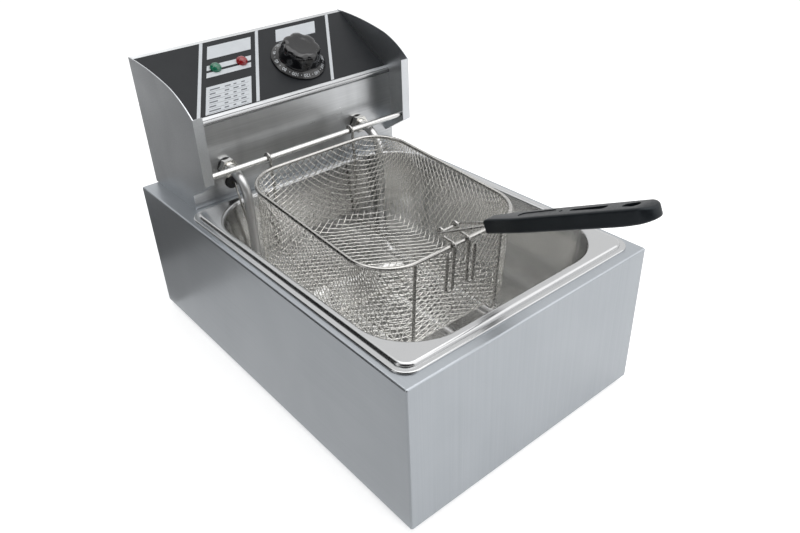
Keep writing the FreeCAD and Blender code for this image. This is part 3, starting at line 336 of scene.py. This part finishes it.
# Signal lamps: two lenses moulded from coloured plastic, with a pebbled inside that spreads the light.
# They are pushed into the deck through the overlay.
def lamp_finish(name, dark, light):
    """Coloured plastic with a pebbled relief, and painted light in each pebble: lighter in its middle and
    darker round it.
    """
    finish, tree, shader = new_finish(name, Roughness=0.12, Coat_Weight=0.6, Coat_Roughness=0.05)
    pebbles = flakes(tree, per_metre=700.0).outputs["Distance"]
    # painted light: each pebble is tinted lighter in its middle; the same pebbles are also raised as real
    # relief
    tint(tree, shader, pebbles, at_low=light, at_high=dark)
    relief(tree, shader, pebbles, strength=0.3, height=0.0003)
    return finish


wear(lamp_finish("lamp_green", dark=(0.002, 0.07, 0.035), light=(0.01, 0.24, 0.13)), "green_lamp_lens")
wear(lamp_finish("lamp_red", dark=(0.12, 0.003, 0.004), light=(0.44, 0.012, 0.016)), "red_lamp_lens")

# Fittings of the head: the moulded bodies of the thermostat, limiter, lamps and terminal block
# inside it, and the gland with its locknut in its back, in dark heat-proof plastic.
housing_finish = mottled(
    "housing_plastic", patches=140, dark=(0.020, 0.020, 0.022), light=(0.045, 0.045, 0.047),
    scuffs=700, smooth=0.42, rough=0.58, grain=1800, grain_strength=0.12, grain_height=0.0002)
wear(housing_finish, "lamp_bodies", "thermostat_body", "limiter_body", "terminal_block", "cable_gland",
     "gland_locknut")

# Seals and leads: gaskets and a grommet of black silicone rubber, where fittings pass through the
# front plate, and the sleeved wires inside the head.
seal_finish = mottled(
    "seal_rubber", patches=200, dark=(0.008, 0.008, 0.009), light=(0.022, 0.022, 0.023),
    scuffs=900, smooth=0.5, rough=0.7)
wear(seal_finish, "element_gaskets", "capillary_grommet", "lead_wires")

# Thermostat knob: a glossy black moulding with a seven-lobed grip on a sloping skirt, pushed onto
# the thermostat's shaft. The scale on the skirt is printed in white: plain numbers, with a dot
# halfway between each two.
knob_finish = mottled(
    "knob_black", patches=120, dark=(0.003, 0.003, 0.004), light=(0.006, 0.006, 0.007),
    scuffs=500, smooth=0.07, rough=0.14, Specular_IOR_Level=0.5, Coat_Weight=0.3, Coat_Roughness=0.05)
lobes, lobe_depth, knob_steps, pole_gap = 7, 0.0018, 140, 0.00002
lobe_foot, lobe_rise, lobe_inner, lobe_reach = 0.0071, 0.0080, 0.0090, 0.0085
skirt_edge, skirt_neck = Vector((0.0294, 0.0025)), Vector((0.0234, 0.0055))
knob_profile = (
    (0, 0.0010), (0.0294, 0.0010), (0.0300, 0.0016), (0.0300, 0.0020), skirt_edge, skirt_neck,
    (0.0227, 0.0061), (0.0222, 0.0071), (0.0220, 0.0085), (0.0218, 0.0105), (0.0216, 0.0125),
    (0.0214, 0.0145), (0.0212, 0.0165), (0.0209, 0.0185), (0.0203, 0.0202), (0.0193, 0.0214),
    (0.0179, 0.0221), (0.0161, 0.0225), (0.0140, 0.0226), (0.0112, 0.0225), (0.0086, 0.0223),
    (0.0060, 0.0222), (0, 0.0222))


def eased(share):
    """Goes smoothly from 0 to 1, and stays level before and after."""
    share = min(max(share, 0), 1)
    return share * share * (3 - 2 * share)


knob_mesh = bmesh.new()
corners = [knob_mesh.verts.new((radius, 0, height)) for radius, height in knob_profile]
edges = [knob_mesh.edges.new(pair) for pair in zip(corners, corners[1:])]
bmesh.ops.spin(knob_mesh, geom=corners + edges, cent=(0, 0, 0), axis=(0, 0, 1), angle=2 * math.pi,
               steps=knob_steps, use_merge=True)
bmesh.ops.remove_doubles(knob_mesh, verts=knob_mesh.verts, dist=pole_gap)
bmesh.ops.recalc_face_normals(knob_mesh, faces=knob_mesh.faces)
for vert in knob_mesh.verts:
    radius = math.hypot(vert.co.x, vert.co.y)
    if radius > lobe_inner:
        scoop = math.cos(lobes * math.atan2(vert.co.y, vert.co.x) / 2) ** 4
        scoop *= eased((vert.co.z - lobe_foot) / lobe_rise) * eased((radius - lobe_inner) / lobe_reach)
        vert.co.xy *= 1 - lobe_depth * scoop / radius
knob_place = Matrix.Translation(Vector(knob_joint["pos_m"])) @ panel_frame.to_3x3().to_4x4()
knob = placed_mesh("knob_moulding", knob_mesh, knob_place, knob_finish, "knob", smooth=True)
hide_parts("thermostat_knob")


def as_bmesh(holder):
    """The mesh that a text or a curve makes, as a bmesh; the text or curve is removed."""
    made = bpy.data.meshes.new_from_object(holder)
    bpy.data.objects.remove(holder)
    mesh = bmesh.new()
    mesh.from_mesh(made)
    bpy.data.meshes.remove(made)
    return mesh


number_size, ink_half, ink_lift = 0.0050, 0.00003, 0.00004
dot_radius, dot_sides = 0.0005, 10
skirt_middle, skirt_slope = (skirt_edge + skirt_neck) / 2, (skirt_edge - skirt_neck).normalized()
scale_numbers, scale_turn = range(0, 220, 20), math.radians(28)
scale_print = bmesh.new()
for step, number in enumerate(map(str, scale_numbers)):
    text = bpy.data.curves.new(number, "FONT")
    text.body = number
    text.size = number_size
    text.extrude = ink_half
    text.resolution_u = 3
    text.align_x = "CENTER"
    text.align_y = "CENTER"
    printed = as_bmesh(bpy.data.objects.new(number, text))
    if step < len(scale_numbers) - 1:
        halfway = Matrix.Translation((-scale_turn / 2 * skirt_middle.x, 0, 0))
        bmesh.ops.create_cone(printed, cap_ends=True, segments=dot_sides, radius1=dot_radius,
                              radius2=dot_radius, depth=2 * ink_half, matrix=halfway)
    for vert in printed.verts:
        across, out, lift = vert.co.x, vert.co.y, vert.co.z + ink_lift
        radius = skirt_middle.x + out * skirt_slope.x - lift * skirt_slope.y
        height = skirt_middle.y + out * skirt_slope.y + lift * skirt_slope.x
        turn = math.pi / 2 + step * scale_turn - across / skirt_middle.x
        vert.co = (radius * math.cos(turn), radius * math.sin(turn), height)
    joined = bpy.data.meshes.new(number)
    printed.to_mesh(joined)
    printed.free()
    scale_print.from_mesh(joined)
    bpy.data.meshes.remove(joined)
placed_mesh("knob_scale_print", scale_print, knob_place, white_ink, "knob")

# Heating element: a tube of heat-proof alloy, bent into loops that lie under the basket.
# Its two ends go through the front plate in threaded fittings. It is a dull, slightly stained grey.
element_finish, tree, shader = new_finish("element_steel", Metallic=1.0)
stains = spread(tree, speckle(tree, 30, distortion=0.7), 0, 1)
tint(tree, shader, stains, at_low=(0.60, 0.60, 0.60), at_high=(0.72, 0.72, 0.72))
roughen(tree, shader, speckle(tree, 500), at_low=0.36, at_high=0.48)
wear(element_finish, "heating_element")

# Threads: fine ridges cut on the ends of the element's two fittings, which stand out of the nuts.
# At so fine a pitch the turns look like rings, so each ridge is a closed ring.
thread_root, thread_crest, thread_pitch, thread_turns = 0.0059, 0.0064, 0.0010, 3
flange_radius, ridge_foot, thread_steps = 0.0095, thread_root + 0.0001, 40
ridge = ((0.1, ridge_foot), (0.5, thread_crest), (0.9, ridge_foot))
bush_low, bush_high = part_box("element_bushes")
bush_middle = (bush_low.z + bush_high.z) / 2
thread_profile = [(thread_root, 0.0)]
for turn in range(thread_turns):
    thread_profile += [(radius, thread_pitch * (turn + share)) for share, radius in ridge]
thread_profile.append((thread_root, thread_pitch * thread_turns))
thread_mesh = bmesh.new()
for middle in (bush_low.x + flange_radius, bush_high.x - flange_radius):
    corners = [thread_mesh.verts.new((middle + radius, bush_low.y + along, bush_middle))
               for radius, along in thread_profile]
    edges = [thread_mesh.edges.new(pair) for pair in zip(corners, corners[1:] + corners[:1])]
    bmesh.ops.spin(thread_mesh, geom=corners + edges, cent=(middle, 0, bush_middle), axis=(0, 1, 0),
                   angle=2 * math.pi, steps=thread_steps, use_merge=True)
bmesh.ops.recalc_face_normals(thread_mesh, faces=thread_mesh.faces)
placed_mesh("fitting_threads", thread_mesh, Matrix(), fastener_finish, "head")

# Capillary and bulb: a thin drawn metal tube from the thermostat, and the closed bulb that it ends in.
# Two clips hold the bulb to the element.
capillary_finish = mottled(
    "capillary_metal", patches=300, dark=(0.52, 0.50, 0.47), light=(0.66, 0.64, 0.60),
    scuffs=700, smooth=0.25, rough=0.4, Metallic=1.0)
wear(capillary_finish, "capillary_tube", "thermostat_bulb")

# Basket frame: thick drawn wires, bent and welded, then nickel-plated with the woven sheet.
# The plating is a little rougher on them than on the fine wires, and painted darker, as painted shade for the
# dark surroundings that they mirror.
# painted shade: the frame wires' plating is darker than the fine wires'
shaded_frame_wire_finish = mottled(
    "frame_wire", patches=160, dark=(0.40, 0.395, 0.38), light=(0.54, 0.53, 0.51),
    scuffs=500, smooth=0.18, rough=0.32, Metallic=1.0)
wear(shaded_frame_wire_finish, "basket_rim", "basket_frame_wires", "basket_brackets", "handle_fork")

# Basket mesh: a flat sheet of woven wire, cut on the bias and pressed into a deep round-cornered
# box. The weave shears at the corners, where its diamonds close up into squares.
# painted light: the fine wires' plating is painted lighter than the frame's, for the bright highlights they
# catch
lit_wire_finish = mottled(
    "basket_wire", patches=160, dark=(0.80, 0.79, 0.76), light=(0.92, 0.91, 0.88),
    scuffs=500, smooth=0.14, rough=0.26, Metallic=1.0)
rim_low, rim_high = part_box("basket_rim")
rim_wire, sheet_inset, weave_wire = 0.0020, 0.0006, 0.00050
lift_axis = next(Vector(joint["axis"]) for joint in frame["joints"] if joint["name"] == "basket_lift")
basket_tilt = math.atan2(-lift_axis.y, lift_axis.z)
basket_place = Matrix.Translation((rim_low + rim_high) / 2) @ Matrix.Rotation(basket_tilt, 4, "X")
half_sides = np.array((
    (rim_high.x - rim_low.x) / 2 - rim_wire - sheet_inset,
    ((rim_high.y - rim_low.y) / 2 - rim_wire) / math.cos(basket_tilt) - sheet_inset))
corner_radius, floor_bend, basket_depth = 0.0389, 0.0114, 0.0964
core = half_sides - corner_radius
floor_reach = corner_radius - floor_bend
bend_length = floor_bend * math.pi / 2
tiny = 1e-9


def from_core(points):
    """Splits plan positions into the nearest core point, the direction out of it and the distance."""
    near = np.clip(points[..., :2], -core, core)
    out = points[..., :2] - near
    reach = np.linalg.norm(out, axis=-1)
    return near, out / np.maximum(reach, tiny)[..., None], reach


def folded(flat):
    """Folds points of the flat sheet up round the floor's edge."""
    near, way, reach = from_core(flat)
    turn = np.clip((reach - floor_reach) / floor_bend, 0, math.pi / 2)
    across = np.where(reach < floor_reach, reach, floor_reach + floor_bend * np.sin(turn))
    climb = np.maximum(reach - floor_reach - bend_length, 0)
    height = floor_bend * (1 - np.cos(turn)) + climb - basket_depth
    return np.concatenate((near + way * across[..., None], height[..., None]), axis=-1)


def pressed(points):
    """Brings points back to the nearest place on the basket's floor, bend or wall."""
    near, way, reach = from_core(points)
    height = points[..., 2]
    bend_top = floor_bend - basket_depth
    side = np.maximum(reach - floor_reach, 0)
    drop = np.maximum(bend_top - height, tiny)
    slant = np.hypot(side, drop)
    low = height < bend_top
    on_floor = low & (reach <= floor_reach)
    across = np.where(low, floor_reach + floor_bend * side / slant, corner_radius)
    across = np.where(on_floor, reach, across)
    height = np.where(low, bend_top - floor_bend * drop / slant, height)
    height = np.where(on_floor, -basket_depth, height)
    return np.concatenate((near + way * across[..., None], height[..., None]), axis=-1)


def outward(points):
    """The basket surface's outward direction at points on it."""
    near, way, reach = from_core(points)
    rise = np.clip((points[..., 2] + basket_depth) / floor_bend, 0, 1)
    down = np.where(reach < floor_reach, -1.0, rise - 1)
    side = np.sqrt(np.maximum(1 - down ** 2, 0))
    return np.concatenate((way * side[..., None], down[..., None]), axis=-1)


weave_pitch, weave_angle, wires_each_way, off_centre = 0.0070, math.radians(30), 60, 0.25
steps = np.arange(-wires_each_way, wires_each_way + 1)
first_way = weave_pitch * np.array((math.cos(weave_angle), -math.sin(weave_angle)))
second_way = weave_pitch * np.array((math.cos(weave_angle), math.sin(weave_angle)))
places = steps + off_centre
flat_sheet = places[:, None, None] * first_way + places[None, :, None] * second_way
crossings = folded(flat_sheet)
spare_height = 0.030
in_sheet = crossings[..., 2] < spare_height
press_rounds, press_step, pull_share, push_share, bend_share = 300, 0.4, 0.5, 0.6, 0.5
for press_round in range(press_rounds):
    away = outward(crossings)
    move = np.zeros_like(crossings)
    for points, out, shift, kept in (
            (crossings, away, move, in_sheet),
            (crossings.swapaxes(0, 1), away.swapaxes(0, 1), move.swapaxes(0, 1), in_sheet.T)):
        gap = points[1:] - points[:-1]
        length = np.linalg.norm(gap, axis=-1)
        error = pull_share * (length - weave_pitch) / np.maximum(length, tiny)
        error *= np.where(length > weave_pitch, 1, push_share) * (kept[1:] & kept[:-1])
        shift[:-1] += error[..., None] * gap
        shift[1:] -= error[..., None] * gap
        straighten = (points[:-2] + points[2:]) / 2 - points[1:-1]
        straighten -= out[1:-1] * (straighten * out[1:-1]).sum(axis=-1)[..., None]
        kept_runs = kept[2:] & kept[1:-1] & kept[:-2]
        shift[1:-1] += bend_share * kept_runs[..., None] * straighten
    crossings = pressed(crossings + press_step * move)


def at_rim(below, above):
    """Where a wire that crosses the rim's height is trimmed."""
    share = below[2] / (below[2] - above[2])
    return below + share * (above - below)


def wire_mesh(name, runs):
    """Round wires along smooth curves through runs of control points, as a piece of the basket."""
    data = bpy.data.curves.new(name, "CURVE")
    data.dimensions = "3D"
    data.resolution_u = 3
    data.bevel_depth = weave_wire
    data.bevel_resolution = 1
    data.use_fill_caps = True
    for run in runs:
        spline = data.splines.new("NURBS")
        spline.points.add(len(run) - 1)
        for point, spot in zip(spline.points, run):
            point.co = (*spot, 1)
        spline.order_u = 3
        spline.use_endpoint_u = True
    mesh = as_bmesh(bpy.data.objects.new(name + "_line", data))
    return placed_mesh(name, mesh, basket_place, lit_wire_finish, "basket", smooth=True)


wave, shortest_run = 0.9 * weave_wire, 3
signs = np.where((steps[:, None] + steps[None, :]) % 2 == 0, 1.0, -1.0)[..., None]
for name, over in (("basket_weave_left", 1), ("basket_weave_right", -1)):
    path = crossings + over * wave * signs * outward(crossings)
    bare, inside = crossings, in_sheet
    if over < 0:
        path, bare, inside = path.swapaxes(0, 1), bare.swapaxes(0, 1), inside.T
    runs = []
    for line, place, kept in zip(path, bare, inside):
        below = kept & (place[:, 2] < 0)
        run = []
        for index in range(len(steps)):
            if below[index]:
                if not run and index and kept[index - 1]:
                    run.append(at_rim(place[index], place[index - 1]))
                run.append(line[index])
            elif run:
                if kept[index]:
                    run.append(at_rim(place[index - 1], place[index]))
                if len(run) >= shortest_run:
                    runs.append(run)
                run = []
    weave = wire_mesh(name, runs)
    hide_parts("basket_mesh")

# Handle grip: a moulded bar of black plastic over the fork's tail, narrow at its neck and round
# at its end. A slot, a hanging eye, a groove and a dot are moulded into it.
grip_finish = mottled(
    "handle_black", patches=90, dark=(0.006, 0.0075, 0.0095), light=(0.012, 0.0145, 0.0175),
    scuffs=600, smooth=0.34, rough=0.46, grain=1600, grain_strength=0.1, grain_height=0.0002,
    Specular_IOR_Level=0.28, Specular_Tint=(0.84, 0.93, 1.0, 1))
grip_length, grip_thickness, neck_half, grip_half = 0.1592, 0.0124, 0.0069, 0.0105
swell_length, end_round, end_drop, sweep_length, sweep_rise = 0.044, 0.0100, 0.0022, 0.030, 0.0022
edge_round, edge_steps, curve_steps, straight_steps = 0.0022, 5, 12, 16
sharp_edge, crease = math.radians(60), math.radians(40)
grip_neck, grip_rise = (0.0044, -0.123598, 0.20525), math.radians(25.2)
grip_place = Matrix.Translation(grip_neck) @ Matrix.Rotation(-grip_rise, 4, "X")
one_side = []
for step in range(curve_steps + 1):
    swell = step / curve_steps
    one_side.append((neck_half + (grip_half - neck_half) * eased(swell), swell * swell_length))
straight = grip_length - end_round - swell_length
for step in range(1, straight_steps):
    one_side.append((grip_half, swell_length + straight * step / straight_steps))
for step in range(curve_steps + 1):
    turn = math.pi / 2 * step / curve_steps
    across = grip_half - end_round * (1 - math.cos(turn))
    along = grip_length - end_round * (1 - math.sin(turn))
    one_side.append((across, along))
grip_mesh = bmesh.new()
rails = [[grip_mesh.verts.new((side * across, -along, -grip_thickness / 2)) for across, along in one_side]
         for side in (1, -1)]
rungs = list(zip(*rails))
strips = [grip_mesh.faces.new((*near, *reversed(far))) for near, far in zip(rungs, rungs[1:])]


def raise_faces(mesh, faces, height):
    """Pulls flat faces up into a solid."""
    pulled = bmesh.ops.extrude_face_region(mesh, geom=faces)["geom"]
    tops = [part for part in pulled if isinstance(part, bmesh.types.BMVert)]
    bmesh.ops.translate(mesh, vec=(0, 0, height), verts=tops)
    bmesh.ops.recalc_face_normals(mesh, faces=mesh.faces)


raise_faces(grip_mesh, strips, grip_thickness)
outline = [edge for edge in grip_mesh.edges
           if edge.verts[0].co.z * edge.verts[1].co.z > 0 and edge.calc_face_angle(0) > sharp_edge]
bmesh.ops.bevel(grip_mesh, geom=outline, offset=edge_round, segments=edge_steps, profile=0.5,
                affect="EDGES", material=-1)
for vert in grip_mesh.verts:
    swept = max(-vert.co.y - grip_length + sweep_length, 0) / sweep_length
    vert.co.z += sweep_rise * swept * swept * (0.5 - vert.co.z / grip_thickness)
    ended = max(-vert.co.y - grip_length + end_round, 0) / end_round
    vert.co.z -= end_drop * ended * ended * (0.5 + vert.co.z / grip_thickness)


def hollow_bar(mesh, near, far, near_half, far_half, low, high):
    """A bar with round ends along the grip, as wide at each end as is asked, from one height to another."""
    bar_outline = []
    for middle, half, first in ((near + near_half, near_half, 0), (far - far_half, far_half, math.pi)):
        for step in range(curve_steps + 1):
            turn = first + math.pi * step / curve_steps
            bar_outline.append((half * math.cos(turn), half * math.sin(turn) - middle))
    face = mesh.faces.new([mesh.verts.new((x, y, low)) for x, y in bar_outline])
    raise_faces(mesh, [face], high - low)


def bare_object(name, mesh):
    """A loose object from a bmesh, for a modifier to use."""
    data = bpy.data.meshes.new(name)
    mesh.to_mesh(data)
    mesh.free()
    made = bpy.data.objects.new(name, data)
    bpy.context.scene.collection.objects.link(made)
    return made


slot, eye = (0.0870, 0.1200, 0.0020, 0.0036), (0.1333, 0.1468, 0.0034, 0.0044)
dot, groove = (0.0765, 0.0795, 0.0015, 0.0015), (0.0350, 0.0720, 0.0040, 0.0058)
dot_depth, groove_depth, grip_top, clear = 0.0008, 0.0006, grip_thickness / 2, 0.02
cutter_mesh = bmesh.new()
for shape, bottom in (
        (slot, -clear), (eye, -clear), (dot, grip_top - dot_depth), (groove, grip_top - groove_depth)):
    hollow_bar(cutter_mesh, *shape, low=bottom, high=clear)
blank, cutter = bare_object("grip_blank", grip_mesh), bare_object("grip_cutter", cutter_mesh)
cut = blank.modifiers.new("moulded_gaps", "BOOLEAN")
cut.operation = "DIFFERENCE"
cut.solver = "EXACT"
cut.object = cutter
moulded = bpy.data.meshes.new_from_object(blank.evaluated_get(bpy.context.evaluated_depsgraph_get()))
bpy.data.objects.remove(blank)
bpy.data.objects.remove(cutter)
grip_mesh = bmesh.new()
grip_mesh.from_mesh(moulded)
bpy.data.meshes.remove(moulded)
for edge in grip_mesh.edges:
    edge.smooth = edge.calc_face_angle(0) < crease
grip = placed_mesh("grip_moulding", grip_mesh, grip_place, grip_finish, "handle", smooth=True)
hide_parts("handle_grip")


# Studio: a pale floor, a white room and two large soft lights.
# Eight cards, seen only in reflections, lie on the floor at the left and stand at the left and
# behind the camera. They give the steel something darker than the room to mirror.
def seen_directly(tree):
    """Tells what the camera sees, straight or in metal and glass, from the light that reaches a surface."""
    rays = add_node(tree, "LightPath", {})
    seen = add_node(tree, "Math", {
        0: rays.outputs["Is Camera Ray"], 1: rays.outputs["Is Glossy Ray"]}, operation="ADD")
    seen = add_node(tree, "Math", {
        0: seen.outputs["Value"], 1: rays.outputs["Is Transmission Ray"]}, operation="ADD", use_clamp=True)
    return seen.outputs["Value"]


def stage_sheet(name, finish, middle, size, turn):
    """A flat sheet of the studio, turned by degrees about X, Y and Z."""
    turned = Euler([math.radians(angle) for angle in turn]).to_matrix()
    mesh = bmesh.new()
    bmesh.ops.create_grid(mesh, x_segments=1, y_segments=1, size=0.5)
    bmesh.ops.scale(mesh, vec=(*size, 1), verts=mesh.verts)
    bmesh.ops.rotate(mesh, matrix=turned, verts=mesh.verts)
    bmesh.ops.translate(mesh, vec=middle, verts=mesh.verts)
    data = bpy.data.meshes.new(name)
    mesh.to_mesh(data)
    mesh.free()
    data.materials.append(finish)
    sheet = bpy.data.objects.new(name, data)
    bpy.context.scene.collection.objects.link(sheet)
    return sheet


level = (0, 0, 0)
floor_size, floor_glow, camera_glow = 12, 0.36, 0.22
floor_finish, tree, shader = new_finish(
    "floor_white", Base_Color=(0.88, 0.88, 0.88, 1), Roughness=0.9, Specular_IOR_Level=0,
    Emission_Color=(1, 1, 1, 1))
mirrored = add_node(tree, "Math", {0: seen_directly(tree), 1: floor_glow}, operation="MULTIPLY")
rays = add_node(tree, "LightPath", {})
lift = add_node(tree, "Math", {
    0: rays.outputs["Is Camera Ray"], 1: camera_glow, 2: mirrored.outputs["Value"]}, operation="MULTIPLY_ADD")
tree.links.new(lift.outputs["Value"], shader.inputs["Emission Strength"])
stage_sheet("floor", floor_finish, middle=(0, 0, 0), size=(floor_size, floor_size), turn=level)


def card(name, middle, size, turn, shade):
    """A flat card that only reflections see."""
    paint = bpy.data.materials.new(name)
    paint.use_nodes = True
    tree = paint.node_tree
    glow = add_node(tree, "Emission", {"Color": (shade, shade, shade, 1)})
    tree.links.new(glow.outputs["Emission"], tree.nodes["Material Output"].inputs["Surface"])
    sheet = stage_sheet(name, paint, middle, size, turn)
    sheet.visible_camera = False
    sheet.visible_diffuse = False
    sheet.visible_shadow = False
    sheet.visible_transmission = False


card("near_floor_shade", middle=(-0.385, -0.135, 0.002), size=(0.48, 0.77), turn=level, shade=0.70)
card("middle_floor_shade", middle=(-0.325, 0.300, 0.002), size=(0.36, 0.10), turn=level, shade=0.36)
card("dark_floor_shade", middle=(-0.325, 0.450, 0.002), size=(0.36, 0.20), turn=level, shade=0.15)
card("far_floor_shade", middle=(-0.325, 0.725, 0.002), size=(0.36, 0.35), turn=level, shade=0.36)
card("back_floor_shade", middle=(-0.375, 1.200, 0.003), size=(0.46, 0.60), turn=level, shade=0.52)
card("left_floor_shade", middle=(-0.730, 0.95, 0.002), size=(0.44, 1.60), turn=level, shade=0.04)
card("left_wall_shade", middle=(-0.950, 1.00, 0.90), size=(1.8, 1.6), turn=(0, 90, 0), shade=0.03)
card("room_shade", middle=(-0.950, -1.20, 1.15), size=(3.4, 2.0), turn=(90, 0, -38.7), shade=0.05)

world = bpy.data.worlds.new("studio")
bpy.context.scene.world = world
world.use_nodes = True
tree = world.node_tree
tree.nodes.clear()
soft = add_node(tree, "Background", {"Color": (1, 1, 1, 1), "Strength": 0.45})
white = add_node(tree, "Background", {"Color": (1, 1, 1, 1), "Strength": 1.0})
mixed = add_node(tree, "MixShader", {
    0: seen_directly(tree), 1: soft.outputs["Background"], 2: white.outputs["Background"]})
add_node(tree, "OutputWorld", {"Surface": mixed.outputs["Shader"]})


def soft_light(name, place, size, power):
    """A large square lamp aimed at the middle of the object."""
    aim = Vector((0, 0, 0.12))
    lamp = bpy.data.lights.new(name, "AREA")
    lamp.size = size
    lamp.energy = power
    holder = bpy.data.objects.new(name, lamp)
    bpy.context.scene.collection.objects.link(holder)
    holder.location = place
    holder.rotation_euler = (aim - Vector(place)).to_track_quat("-Z", "Y").to_euler()


soft_light("key_light", place=(0.7, -1.2, 1.6), size=2.6, power=16)
soft_light("top_light", place=(0.05, 0.05, 1.9), size=1.6, power=10)

# Camera: at the height of someone looking down across the near left corner of the casing.
# Its place, lens and slight roll come from the straight edges of the real casing and pan.
eye_point = Vector((-0.38212, -0.48573, 0.50175))
azimuth, elevation, roll = math.radians(-38.7448), math.radians(32.4318), math.radians(-2.3712)
look = Vector((
    -math.sin(azimuth) * math.cos(elevation), math.cos(azimuth) * math.cos(elevation), -math.sin(elevation)))
camera_data = bpy.data.cameras.new("camera")
camera_data.lens = 33.461
camera_data.sensor_width = 36
camera_data.clip_start = 0.01
camera = bpy.data.objects.new("camera", camera_data)
bpy.context.scene.collection.objects.link(camera)
camera.matrix_world = (Matrix.Translation(eye_point) @ look.to_track_quat("-Z", "Y").to_matrix().to_4x4()
                       @ Matrix.Rotation(roll, 4, "Z"))
bpy.context.scene.camera = camera
bpy.context.scene.view_settings.view_transform = "Standard"
